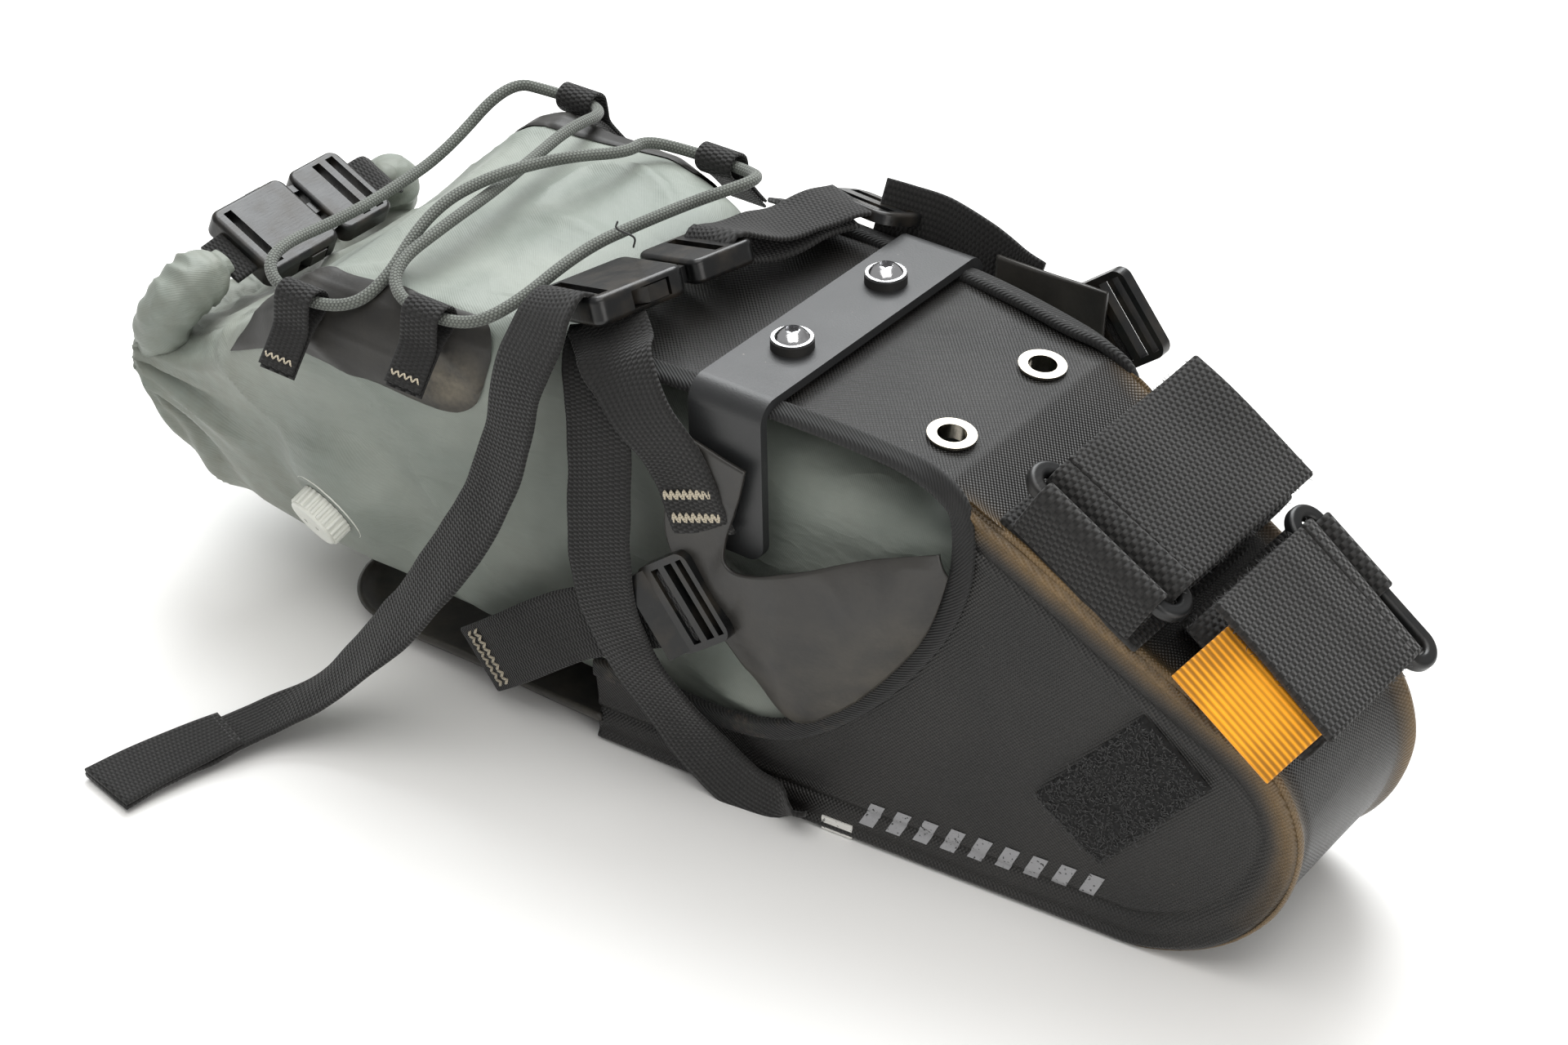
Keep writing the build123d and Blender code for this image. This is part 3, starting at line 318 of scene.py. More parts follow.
def rubber_sheet(name, colour, rough):
    """Rubber-coated cloth: smooth, dusty in soft clouds."""
    paint = Paint(name)
    x, y, z = paint.coords("Object")
    spot = paint.point(x, y, z)
    dust = paint.noise(17, spot, 5)
    mud = paint.attribute("dirt") * (paint.noise(11, spot, 6) * 1.5 + paint.noise(1.5, spot,
        3) * 0.5 - 0.55).clip()
    body = paint.mix(dust.ramp(0.4, 0.8) * 0.14, colour, (0.09, 0.083, 0.07, 1))
    body = paint.mix(mud, body, (0.27, 0.235, 0.175, 1))
    paint.feed(Base_Color=body, Roughness=dust * 0.3 + rough + mud * 0.3)
    return paint.feed(Normal=paint.bump(dust * 0.35 + paint.noise(1.1, spot, 3) * 0.05)).material


holster_cloth = coated_cloth("black_coated_cloth", grey(0.022, 0.05), grey(0.042, 0.08), 1.4, 0.34, 0.24)
webbing = ribbed_web("black_webbing", grey(0.0085, 0.05), 1.5, 2.1, 0.34, 0.12)
strap_weave = ribbed_web("coarse_strap_weave", grey(0.0105, 0.06), 2.35, 1.9, 0.55, 0.12)
pile_black = ribbed_web("loop_tape_black", grey(0.004), 2.2, 2.2, 0.2, 0.05)
orange_weave = ribbed_web("orange_grosgrain", (0.72, 0.29, 0.012, 1), 1.9, 40, 0.3, 0.1)
binding_twill = twill("binding_twill", grey(0.007), 1.5, 0.3)
sage_cloth = bag_cloth()
wing_rubber = rubber_sheet("wing_rubber", grey(0.02, 0.04), 0.26)
panel_rubber = rubber_sheet("lash_panel_rubber", grey(0.009, 0.02), 0.36)
print("cloth finishes:", len(bpy.data.materials))

# %% [markdown]
# Hard parts have quieter finishes: moulded plastic with brown dust in cloudy patches, a satin powder coat
# with chips on the bracket, and bright metals with fine scratches.


# %% Hard finishes
def moulded(name, colour, rough, dusty):
    """Moulded plastic: faint orange peel, with dust in cloudy patches."""
    paint = Paint(name)
    x, y, z = paint.coords("Object")
    spot = paint.point(x, y, z)
    cloud = paint.noise(9, spot, 6)
    dust = (cloud * 1.9 - 0.85).clip() * dusty
    scratch = paint.noise(2.2, paint.point(x * 3, y * 0.5, z), 2)
    paint.feed(Base_Color=paint.mix(dust, colour, (0.15, 0.115, 0.075, 1)))
    paint.feed(Roughness=cloud * 0.25 + rough + dust * 0.25)
    return paint.feed(Normal=paint.bump(scratch * 0.05 + cloud * 0.08)).material


def metal(name, colour, rough, scratchy):
    """Bright metal: fine scratches in one direction."""
    paint = Paint(name, Metallic=1.0)
    x, y, z = paint.coords("Object")
    fine = paint.noise(0.8, paint.point(x * 4, y * 0.7, z), 4)
    stain = paint.noise(5, paint.point(x, y, z), 5)
    dull = tuple(0.6 * c for c in colour[:3]) + (1,)
    paint.feed(Base_Color=paint.mix(stain.ramp(0.45, 0.75), colour, dull))
    paint.feed(Roughness=fine * scratchy + rough)
    return paint.feed(Normal=paint.bump(fine * 0.02)).material


def powder_coat():
    """Satin grey coat with pinhead texture and small chips."""
    paint = Paint("bracket_powder_coat", **{"Specular_IOR_Level": 0.55})
    x, y, z = paint.coords("Object")
    spot = paint.point(x, y, z)
    cloud = paint.noise(24, spot, 4)
    chip = paint.noise(1.6, spot, 2).ramp(0.74, 0.77) * paint.noise(14, spot).ramp(0.5, 0.62)
    body = paint.mix(cloud, grey(0.014, -0.05), grey(0.026, -0.04))
    paint.feed(Base_Color=paint.mix(chip, body, grey(0.2, 0.15)), Roughness=cloud * 0.18 + 0.36)
    return paint.feed(Normal=paint.bump(paint.noise(0.7, spot, 2) * 0.05)).material


def printed(name, colour, rough):
    """A thin print or label with the cloth's weave showing through and small rubbed-off gaps."""
    paint = Paint(name)
    x, y, z = paint.coords("Object")
    spot = paint.point(x, y, z)
    gap = paint.noise(1.3, spot, 3).ramp(0.6, 0.68)
    paint.feed(Base_Color=paint.mix(gap, colour, grey(0.03)), Roughness=gap * 0.2 + rough)
    return paint.feed(Normal=paint.bump(weave_height(x, z, 1.15) * 0.06)).material


def thread_finish(name, colour):
    """Twisted thread: slanted plies along its own UV."""
    paint = Paint(name, Sheen_Weight=0.3)
    u, v, _ = paint.coords("UV")
    ply = (u + v * 0.3).wave(0.8)
    low = tuple(0.6 * c for c in colour[:3]) + (1,)
    return paint.feed(Base_Color=paint.mix(ply, low, colour), Roughness=0.8 - ply * 0.1).material


buckle_plastic = moulded("buckle_plastic", grey(0.005, -0.05), 0.2, 0.3)
ring_plastic = moulded("ring_plastic", grey(0.008, -0.05), 0.26, 0.08)
valve_white = moulded("valve_white", (0.74, 0.75, 0.69, 1), 0.3, 0.12)
inner_plastic = moulded("inner_plastic", grey(0.03), 0.4, 0.1)
washer_rubber = moulded("washer_rubber", grey(0.012), 0.5, 0.1)
nickel = metal("nickel_eyelet", (0.36, 0.33, 0.28, 1), 0.14, 0.2)
chrome = metal("chrome_screw", (0.62, 0.62, 0.63, 1), 0.06, 0.14)
bracket_coat = powder_coat()
silver_print = printed("reflective_print", (0.3, 0.3, 0.31, 1), 0.4)
label_white = printed("white_label", (0.75, 0.74, 0.7, 1), 0.6)
black_thread = thread_finish("black_thread", grey(0.03))
cream_thread = thread_finish("cream_thread", (0.6, 0.53, 0.4, 1))
cord_sheath = ribbed_web("cord_sheath", (0.125, 0.135, 0.12, 1), 1.3, 1.05, 0.22, 0.2)
FINISHES = {
    "inner_plastic": inner_plastic,
    "nickel": nickel,
    "bracket_coat": bracket_coat,
    "chrome_screw": chrome,
    "black_rubber": washer_rubber,
    "steel_nut": chrome,
    "buckle_plastic": buckle_plastic,
    "ring_plastic": ring_plastic,
    "valve_white": valve_white,
    "reflective_print": silver_print,
    "white_label": label_white,
    "shell_cloth": holster_cloth,
    "webbing": webbing,
    "strap_weave": strap_weave,
    "orange_tab": orange_weave,
    "bag_cloth": sage_cloth,
    "flap_cloth": panel_rubber,
    "panel_cloth": panel_rubber,
    "binding_twill": binding_twill,
    "loop_tape": pile_black,
    "cord_sheath": cord_sheath,
}
for part in frame["record"]["subparts"]:
    slots = frame["nodes"][part["node"]].data.materials
    slots.clear()
    slots.append(FINISHES[part["material_slot"]])
print("finishes:", len(bpy.data.materials))

# %% [markdown]
# Three helpers make every sewn piece. A spline carries a few stations to many, a surface
# turns a grid of points into a mesh, and a band carries the outline of a flat strap
# along a path whose stations also say which way is across.


# %% Geometry helpers
def unit(rows):
    return rows / np.maximum(np.linalg.norm(rows, axis=-1, keepdims=True), 1e-9)


def dot(first, second):
    return (first * second).sum(-1, keepdims=True)


def spline(stations, count, closed=False):
    """Smooth curve through the rows (Catmull-Rom cubics), then count rows evenly spaced along its
    first three columns."""
    rows = np.asarray(stations, float)
    if closed:
        ends = np.vstack([rows[-1:], rows, rows[:2]])
    else:
        ends = np.vstack([2 * rows[0] - rows[1], rows, 2 * rows[-1] - rows[-2]])
    a, b, c, d = (part[:, None] for part in (ends[:-3], ends[1:-2], ends[2:-1], ends[3:]))
    t = np.linspace(0, 1, 24, endpoint=False)[:, None]
    fine = 0.5 * (2 * b + (c - a) * t + (2 * a - 5 * b + 4 * c - d) * t**2 + (3 * b - a - 3 * c + d) * t**3)
    fine = np.vstack([fine.reshape(-1, rows.shape[1]), ends[-2]])
    steps = np.linalg.norm(np.diff(fine[:, :3], axis=0), axis=1)
    gone = np.concatenate([[0], np.cumsum(steps)])
    at = np.linspace(0, gone[-1], count)
    return np.column_stack([np.interp(at, gone, column) for column in fine.T])


def noise(points, size, seed=0):
    """Smooth noise between -1 and 1: random numbers on a lattice of that size, blended by 3t²-2t³
    along each axis."""
    q = np.asarray(points, float) / size + 100 + 17.3 * seed
    cell = np.floor(q).astype(np.int64)
    part = q - cell
    part = part * part * (3 - 2 * part)
    total = np.zeros(q.shape[:-1])
    for corner in product((0, 1), repeat=3):
        key = (cell + corner) @ np.array([73856093, 19349663, 83492791]) + seed * 7919
        key = (key ^ (key >> 13)) * 1274126177
        value = ((key ^ (key >> 16)) & 0xFFFF) / 0xFFFF
        total += value * np.where(corner, part, 1 - part).prod(-1)
    return 2 * total - 1


def fold(points, size, seed=0, sharp=3):
    """Sharp-crested folds between 0 and 1: one minus the absolute noise, raised to a power."""
    return (1 - np.abs(noise(points, size, seed))) ** sharp


def link(mesh, name, body, material):
    """Finish a mesh object: material, smooth faces and body."""
    made = bpy.data.objects.new(name, mesh)
    bpy.context.scene.collection.objects.link(made)
    mesh.materials.append(material)
    mesh.polygons.foreach_set("use_smooth", [True] * len(mesh.polygons))
    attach(made, body)
    return made


def surface(name, points, uv, body, material, wrap=False, caps=False, fields=None):
    """Quads over a grid of points in mm. With wrap the second index closes on itself, and caps fill
    both end rings."""
    rows, columns, _ = points.shape
    spans = columns if wrap else columns - 1
    i, j = np.meshgrid(np.arange(rows - 1), np.arange(spans), indexing="ij")
    corners = [(i, j), (i + 1, j), (i + 1, j + 1), (i, j + 1)]
    quads = np.stack([a * columns + b % columns for a, b in corners], -1).reshape(-1, 4)
    spread = np.stack([uv[a, b] for a, b in corners], 2).reshape(-1, 2)
    faces = quads.tolist()
    if caps:
        first = list(range(columns))
        last = list(range((rows - 1) * columns, rows * columns))
        faces += [first, last[::-1]]
        spread = np.vstack([spread, uv[0, :columns], uv[-1, :columns][::-1]])
    mesh = bpy.data.meshes.new(name)
    mesh.from_pydata((points.reshape(-1, 3) * 0.001).tolist(), [], faces)
    layer = mesh.uv_layers.new(name="UVMap")
    layer.data.foreach_set("uv", (spread * 0.001).astype(np.float32).ravel())
    for key, values in (fields or {}).items():
        mesh.attributes.new(key, "FLOAT", "POINT").data.foreach_set("value",
            values.astype(np.float32).ravel())
    return link(mesh, name, body, material)


def modify(made, kind, **settings):
    """Add one modifier."""
    modifier = made.modifiers.new(kind.lower(), kind)
    for key, value in settings.items():
        setattr(modifier, key, value)
    return modifier


def flat_outline(width, thickness, columns=11):
    """Outline of a flat band as (across, up) pairs: two long rows joined by round edges."""
    r = thickness / 2
    row = np.linspace(-width / 2 + r, width / 2 - r, columns)
    turn = np.radians([60, 20, -20, -60])
    right = np.column_stack([width / 2 - r + r * np.cos(turn), r * np.sin(turn)])
    top = np.column_stack([row, np.full(columns, r)])
    half = np.vstack([top, right])
    return np.vstack([half, -half])


class Band:
    """The track of a band: rows of centre, across and up, and the distance gone along it."""

    def __init__(self, stations, count):
        rows = spline(stations, count)
        self.centre = rows[:, :3]
        along = unit(np.gradient(self.centre, axis=0))
        across = rows[:, 3:6]
        self.across = unit(across - along * dot(across, along))
        self.up = np.cross(along, self.across)
        self.size = rows[:, 6:7] if rows.shape[1] > 6 else np.ones((count, 1))
        steps = np.linalg.norm(np.diff(self.centre, axis=0), axis=1)
        self.gone = np.concatenate([[0], np.cumsum(steps)])
        self.length = self.gone[-1]

    def read(self, rows, s):
        return np.column_stack([np.interp(s, self.gone, column) for column in rows.T])

    def at(self, s, c, h):
        """Points s along, c across and h above the middle of the band."""
        s, c, h = np.broadcast_arrays(np.asarray(s, float), c, h)
        place = self.read(self.centre, s)
        return place + self.read(self.across, s) * c[:, None] + self.read(self.up, s) * h[:, None]


def band(name, stations, width, thickness, body, material, count=None, bend=None):
    """A flat outline carried along a spline of (centre, across) stations; bend(s, c) lifts the whole
    section."""
    rough = np.linalg.norm(np.diff(np.asarray(stations, float)[:, :3], axis=0), axis=1).sum()
    track = Band(stations, count or max(12, int(rough / 2)))
    outline = flat_outline(width, thickness)
    c = outline[:, 0][None] * track.size
    h = np.broadcast_to(outline[:, 1][None], c.shape)
    s = np.broadcast_to(track.gone[:, None], c.shape)
    lift = h + (bend(s, c) if bend else 0)
    points = track.centre[:, None] + track.across[:, None] * c[..., None] + track.up[:,
        None] * lift[..., None]
    uv = np.stack([s, c], -1)
    uv = np.concatenate([uv, uv[:, :1]], 1)
    made = surface(name, points, uv, body, material, wrap=True, caps=True)
    return made, track


def stitches(name, starts, ends, up, radius, body, material):
    """Each stitch is a six-sided tube of four rings from start to end: thin and sunk at its ends, full
    between."""
    along = unit(ends - starts)
    side = unit(np.cross(along, up))
    rise = np.cross(side, along)
    share = np.array([0, 0.22, 0.78, 1])
    full = np.array([0.35, 1, 1, 0.35]) * radius
    sink = np.array([-0.9, 0, 0, -0.9]) * radius
    turn = np.arange(6) * pi / 3
    middle = starts[:, None] + (ends - starts)[:, None] * share[None, :, None] + rise[:,
        None] * sink[None, :, None]
    ring = np.cos(turn)[:, None] * side[:, None, None] + np.sin(turn)[:, None] * rise[:, None, None]
    points = middle[:, :, None] + ring * full[None, :, None, None]
    n = len(starts)
    k, j, i = np.meshgrid(np.arange(n), np.arange(3), np.arange(6), indexing="ij")
    base = k * 24
    near, far, after = base + j * 6, base + (j + 1) * 6, (i + 1) % 6
    quads = np.stack([near + i, far + i, far + after, near + after], -1)
    heads = np.arange(n)[:, None] * 24 + np.arange(6)
    tails = np.arange(n)[:, None] * 24 + 23 - np.arange(6)
    faces = quads.reshape(-1, 4).tolist() + heads.tolist() + tails.tolist()
    mesh = bpy.data.meshes.new(name)
    mesh.from_pydata((points.reshape(-1, 3) * 0.001).tolist(), [], faces)
    length = np.linalg.norm(ends - starts, axis=1)
    u = (share[None, :, None] * length[:, None, None] + np.zeros((1, 1, 6))).ravel()
    v = (np.zeros((n, 4, 1)) + np.arange(6)[None, None] * 0.3).ravel()
    index = np.zeros(len(mesh.loops), np.int32)
    mesh.loops.foreach_get("vertex_index", index)
    layer = mesh.uv_layers.new(name="UVMap")
    layer.data.foreach_set("uv", (np.column_stack([u, v])[index] * 0.001).astype(np.float32).ravel())
    return link(mesh, name, body, material)


def running(path, pitch, share=0.68):
    """Starts and ends of a running stitch along a path: every pitch, sewn for that share of it."""
    steps = np.linalg.norm(np.diff(path, axis=0), axis=1)
    gone = np.concatenate([[0], np.cumsum(steps)])
    first = np.arange(0, gone[-1] - pitch, pitch)
    read = [np.column_stack([np.interp(s, gone, column) for column in path.T]) for s in (first,
        first + pitch * share)]
    return read


def zigzag(track, s, width, legs, reach, lift):
    """A bar tack across the band at s: legs slanted threads between two rows that are reach apart."""
    c = np.linspace(-width / 2, width / 2, legs + 1)
    rows = np.where(np.arange(legs + 1) % 2, s + reach / 2, s - reach / 2)
    points = track.at(rows, c, lift)
    return points[:-1], points[1:]


print("helpers ready")

# %% [markdown]
# The holster's outline in side view: flat top, a short slope, the seatpost face, and two
# arcs round the nose. The opening's edge falls from the shoulder to a low rear wall.


# %% Holster outline
TOP, BROW_X, BROW_Z, SHOULDER_X, SHOULDER_Z = 150.0, 168.0, 87.0, 70.0, 143.2
REAR_X, NOSE_X, CHIN_X = -58.0, 186.0, 135.0


def half_width(x):
    """Half width of the holster at x: it flares to the rear and closes in to the nose."""
    x = np.asarray(x, float)
    return np.where(x < 20, 50 + 5 * (20 - x) / 78, 50 - 15 * (x - 20) / 166)


def arc_from(start, heading, end, count):
    """Arc that leaves start along heading and reaches end. Its centre is on the normal at start, as
    far as end is."""
    start, end, heading = (np.asarray(v, float) for v in (start, end, heading))
    heading = heading / np.linalg.norm(heading)
    normal = np.array([heading[1], -heading[0]])
    chord = end - start
    radius = chord @ chord / (2 * chord @ normal)
    centre = start + normal * radius
    first = atan2(*(start - centre)[::-1])
    last = atan2(*(end - centre)[::-1])
    if last > first:
        last -= 2 * pi
    turn = np.linspace(first, last, count)
    points = centre + abs(radius) * np.column_stack([np.cos(turn), np.sin(turn)])
    return points, np.array([sin(last), -cos(last)])


def outline():
    """Points (x, z) of the outline from the rear top round the nose to the chin."""
    face = np.array([BROW_X - SHOULDER_X, BROW_Z - SHOULDER_Z])
    brow, heading = arc_from((BROW_X, BROW_Z), face, (NOSE_X, BROW_Z - 37), 16)
    chin, _ = arc_from((NOSE_X, BROW_Z - 37), heading, (CHIN_X, 0), 24)
    top = np.array([(REAR_X, TOP), (-20, TOP), (10, TOP), (16, 149.7), (22, 149.1), (64, 143.9),
        (70, 142.9), (76, 139.8)])
    return np.vstack([top, brow, chin[1:]])


def spread(path, count):
    """The path's points moved to even spacing."""
    steps = np.linalg.norm(np.diff(path, axis=0), axis=1)
    gone = np.concatenate([[0], np.cumsum(steps)])
    at = np.linspace(0, gone[-1], count)
    return np.column_stack([np.interp(at, gone, column) for column in path.T])


OUTLINE = spread(outline(), 400)
OPENING = [(77, 138), (74.5, 126), (72.5, 112), (66, 92), (54, 72), (40, 55), (24, 41), (8, 32),
    (-8, 30.2), (-32, 30.6), (-58, 31)]
print("outline length", round(float(np.linalg.norm(np.diff(OUTLINE, axis=0), axis=1).sum())), "mm")

# %% [markdown]
# The side panel is a ruled sheet: each line runs from the opening's edge to the outline.
# A welted seam stands up along the outline, and a stitched line sinks 12 mm inside it,
# so the cloth between them is slightly pillowed.


# %% Side panels
def distance_to(path, points):
    """Distance of each point from the nearest point of a path."""
    flat = points.reshape(-1, 2)
    gap = ((flat[:, None] - path[None]) ** 2).sum(-1)
    return np.sqrt(gap.min(1)).reshape(points.shape[:-1])


def side_relief(x, z, edge):
    """How far the cloth stands out: seam ridge, pillow, stitched groove and slow waves."""
    where = np.stack([x, z, np.zeros_like(x)], -1)
    ridge = 2.0 * np.exp(-((edge - 1.6) / 2.1) ** 2)
    pillow = 1.0 * np.exp(-((edge - 7) / 3.0) ** 2)
    groove = -0.9 * np.exp(-((edge - 12) / 1.1) ** 2) + 0.45 * np.exp(-((edge - 14.5) / 1.8) ** 2)
    dome = 1.6 * np.clip((edge - 12) / 30, 0, 1)
    waves = 0.55 * noise(where, 42, 3) + 0.25 * noise(where, 17, 4)
    tuck = -1.2 * np.exp(-edge / 1.0)
    return ridge + pillow + groove + dome + waves * np.clip(edge / 20, 0, 1) + tuck - 0.4


def side_panel(side):
    """Ruled sheet between the opening and the outline, stood out by side_relief, 1.8 mm thick."""
    lower = np.vstack([OUTLINE[OUTLINE[:, 0] >= 77], [(120, 0.3), (60, 0.3), (0, 0.3), (-58, 0.3)]])
    outer = spread(lower, 260)
    inner = spread(np.array(OPENING, float), 260)
    share = np.linspace(0, 1, 260) ** 1.0
    pull = np.interp(share, [0, 0.18, 0.55, 0.8, 1], [0, 0.12, 0.6, 0.84, 1])
    inner = np.column_stack([np.interp(pull, share, column) for column in inner.T])
    v = np.linspace(0, 1, 90)[None, :, None]
    plane = inner[:, None] * (1 - v) + outer[:, None] * v
    edge = distance_to(spread(np.vstack([OUTLINE, lower[-4:]]), 700), plane)
    x, z = plane[..., 0], plane[..., 1]
    stand = side_relief(x, z, edge)
    y = -(half_width(x) + np.clip(stand, -1.5, 3.2) * np.clip(v[..., 0] * 6, 0, 1) ** 0.5 - 0.2)
    points = np.stack([x, y, z], -1)
    # Mask of the painted gold-brown sheen along the seam ridge, stronger higher up, partly wear.
    wear_and_sheen = np.exp(-(((edge - 2.5) / 3.5) ** 2)) * np.clip((z - 20) / 50, 0, 1)
    name = f"side_cloth_{'right' if side < 0 else 'left'}"
    if side > 0:
        points = points * (1, -1, 1)
        points, plane, wear_and_sheen = points[::-1], plane[::-1], wear_and_sheen[::-1]
    made = surface(name, points, plane, "holster", holster_cloth, fields={"ridge": wear_and_sheen})
    modify(made, "SOLIDIFY", thickness=0.0018, offset=-1)
    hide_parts(f"side_panel_{'right' if side < 0 else 'left'}")
    return made


for side in (-1, 1):
    side_panel(side)
print("side panels made")

# %% [markdown]
# The top panel and the nose are one strip between the side panels. It follows the outline, with a welt along
# its edges from the shoulder forward, a slight sag at the nose tip, and shallow random dents that are calmer
# around x = 0. The eyelet holes are cut with a boolean, so the metal rings sit in real holes.


# %% Top and nose strip
def bake(made):
    """Replace an object's mesh by its modified mesh."""
    graph = bpy.context.evaluated_depsgraph_get()
    mesh = bpy.data.meshes.new_from_object(made.evaluated_get(graph))
    made.modifiers.clear()
    made.data = mesh
    return made


def top_strip():
    """Outline carried across the bag: rows along the outline, columns from right to left, with waves
    along the normal."""
    path = spread(OUTLINE, 230)
    along = unit(np.gradient(path, axis=0))
    normal = np.column_stack([-along[:, 1], along[:, 0]])
    share = np.linspace(-1, 1, 61)
    share = np.sign(share) * np.abs(share) ** 0.85
    gone = np.concatenate([[0], np.cumsum(np.linalg.norm(np.diff(path, axis=0), axis=1))])
    half = half_width(path[:, 0]) - 0.3
    y = half[:, None] * share[None]
    x = np.broadcast_to(path[:, 0][:, None], y.shape)
    z = np.broadcast_to(path[:, 1][:, None], y.shape)
    where = np.stack([x, y, z], -1)
    edge = half[:, None] - np.abs(y)
    free = np.clip((x - 70) / 20, 0, 1)
    welt = free * (1.7 * np.exp(-((edge - 1.8) / 2.0) ** 2) - 0.5 * np.exp(-((edge - 7) / 1.6) ** 2))
    sag = -1.3 * (1 - share[None] ** 2) * np.clip((x - 176) / 8, 0, 1)
    dents = 0.7 * noise(where, 38, 7) + 0.4 * fold(where * (1, 0.4, 1), 30, 8)
    calm = 1 - 0.75 * np.exp(-(((x - 0) / 22) ** 2))
    lift = welt + sag + dents * calm * 0.8 - 0.6
    points = where + np.stack([normal[:, None, 0] * lift, np.zeros_like(lift), normal[:, None, 1] * lift], -1)
    points[..., 2] = np.maximum(points[..., 2], 0.1)
    uv = np.stack([np.broadcast_to(gone[:, None], y.shape), y], -1)
    # Mask of the painted gold-brown sheen along the nose's seam ridges, partly wear.
    wear_and_sheen = free * np.exp(-((edge / 5) ** 2)) * 0.9
    made = surface("top_and_nose_cloth", points, uv, "holster", holster_cloth,
        fields={"ridge": wear_and_sheen})
    modify(made, "SOLIDIFY", thickness=0.0018, offset=-1)
    cutters = []
    for x0, z0, tilt in ((0, TOP, 0.0), (58, 144.7, 0.125)):
        for y0 in (-24, 24):
            place = Matrix.Translation((x0 * 0.001, y0 * 0.001, z0 * 0.001)) @ Matrix.Rotation(tilt, 4, "Y")
            bpy.ops.mesh.primitive_cylinder_add(vertices=40, radius=0.0053, depth=0.02)
            cutter = bpy.context.object
            cutter.matrix_world = place
            cutters.append(cutter)
            modify(made, "BOOLEAN", object=cutter, operation="DIFFERENCE", solver="EXACT")
    bake(made)
    for cutter in cutters:
        bpy.data.objects.remove(cutter)
    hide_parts("gusset_panel")
    return made


top_strip()
print("top strip made")

# %% [markdown]
# Twill tape binds the raw edges: one tape on each side runs forward along the top panel,
# turns down round the shoulder, and comes back along the low wall. It is a band whose
# across direction turns from level to upright as it rounds the shoulder.


# %% Edge binding
def binding(side):
    """Band along the opening: stations of centre and across, worked out for the right side and mirrored."""
    top = [(-58, 149.2), (-30, 149.3), (0, 149.4), (16, 149.6), (34, 148.6), (54, 146.3)]
    rows = [(x, -(half_width(x) - 1.2), z + 0.2, 0, 1, 0.15) for x, z in top]
    rows += [(66, -45.6, 144.2, 0.35, 0.8, 0.5), (74.5, -45.4, 138.5, 0.95, 0.3, 0.45),
        (77, -45.2, 129, 1, 0.05, 0)]
    down = [(76, 112, 0.99, -0.15), (70.5, 95, 0.9, -0.42), (60, 77, 0.78, -0.6), (46.5, 59.5, 0.75, -0.66)]
    down += [(31, 44.5, 0.62, -0.78), (14, 33.5, 0.4, -0.92), (-6, 29, 0.08, -1), (-30, 29.4, 0, -1),
        (-58, 29.8, 0, -1)]
    rows += [(x, -(half_width(x) + 0.1), z, ax, 0, az) for x, z, ax, az in down]
    rows = np.array(rows)
    rows[:, 1:5:3] *= -side
    word = "right" if side < 0 else "left"
    made, track = band(f"binding_tape_{word}", rows, 7.6, 3.8, "holster", binding_twill, 260)
    wear_and_sheen = made.data.attributes.new("ridge", "FLOAT", "POINT")
    heights = np.zeros(len(made.data.vertices) * 3)
    made.data.vertices.foreach_get("co", heights)
    wear_and_sheen.data.foreach_set("value", np.clip(1.2 - heights[2::3] / 0.075, 0, 1).astype(np.float32))
    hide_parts(f"edge_binding_{word}")
    s = np.arange(3, track.length - 3, 2.6)
    starts, ends = (track.at(s + d, 1.6, -1.72) for d in (0, 1.9))
    inwards = track.read(track.up, s) * -1
    stitches(f"binding_stitch_{word}", starts, ends, inwards, 0.3, "holster", black_thread)
    return track


binding_tracks = {side: binding(side) for side in (-1, 1)}
print("binding", round(binding_tracks[-1].length), "mm a side")

# %% [markdown]
# The dry bag is a lofted shell. Its section is a rounded four-sided form: narrow at the
# bottom, wide at the top, flattening towards the rolled mouth. Folds run from the
# mouth's corners, slow waves make the cloth slack, and the cloth meets the valve's flange.


# %% Dry bag form
BAG_ROWS = [
    (158.0, 20, 22, 24, 74, 74, 14),
    (132, 33.4, 33.4, 12, 99.6, 99.6, 16),
    (70, 42, 42, 3.5, 125.5, 125.5, 22),
    (16, 46, 46, 3.5, 135.5, 135.5, 26),
    (-18, 47.8, 47.8, 3.5, 137.5, 137.5, 26),
    (-58, 47.9, 50.9, 5.5, 146.5, 146.5, 26),
    (-76, 48, 57, 7.5, 149, 152, 24),
    (-110, 51, 66, 13, 147, 155, 20),
    (-168, 55, 72, 22, 137, 149, 18),
    (-205, 56, 68, 27, 109, 113, 17),
    (-232, 56.5, 62, 32, 90, 91, 13),
    (-246, 57, 60, 48, 84, 85, 9),
    (-256, 53, 54, 68, 80, 80, 5),
]

def bag_ring(rows):
    """Closed section at each row: four corners, each rounded by a quadratic curve, joined by straight
    runs."""
    _, low_half, high_half, low, high_right, high_left, radius = rows.T
    corners = np.stack(
        [
            np.stack([-high_half, high_right], -1),
            np.stack([-low_half, low], -1),
            np.stack([low_half, low], -1),
            np.stack([high_half, high_left], -1),
        ],
        1,
    )
    ahead = unit(np.roll(corners, -1, 1) - corners)
    behind = unit(np.roll(corners, 1, 1) - corners)
    reach = radius[:, None, None]
    first, last = corners + behind * reach, corners + ahead * reach
    t = np.linspace(0, 1, 16)[None, None, :, None]
    bend = (1 - t) ** 2 * first[:, :, None] + 2 * t * (1 - t) * corners[:, :, None] + t**2 * last[:, :, None]
    share = np.linspace(0, 1, 42)[1:-1][None, None, :, None]
    run = last[:, :, None] * (1 - share) + np.roll(first, -1, 1)[:, :, None] * share
    return np.concatenate([bend, run], 2).reshape(len(rows), -1, 2)


def grid_normals(points):
    """Outward normals of a wrapped grid from the cross product of its two directions."""
    along = np.gradient(points, axis=0)
    around = np.roll(points, -1, 1) - np.roll(points, 1, 1)
    return unit(np.cross(along, around))


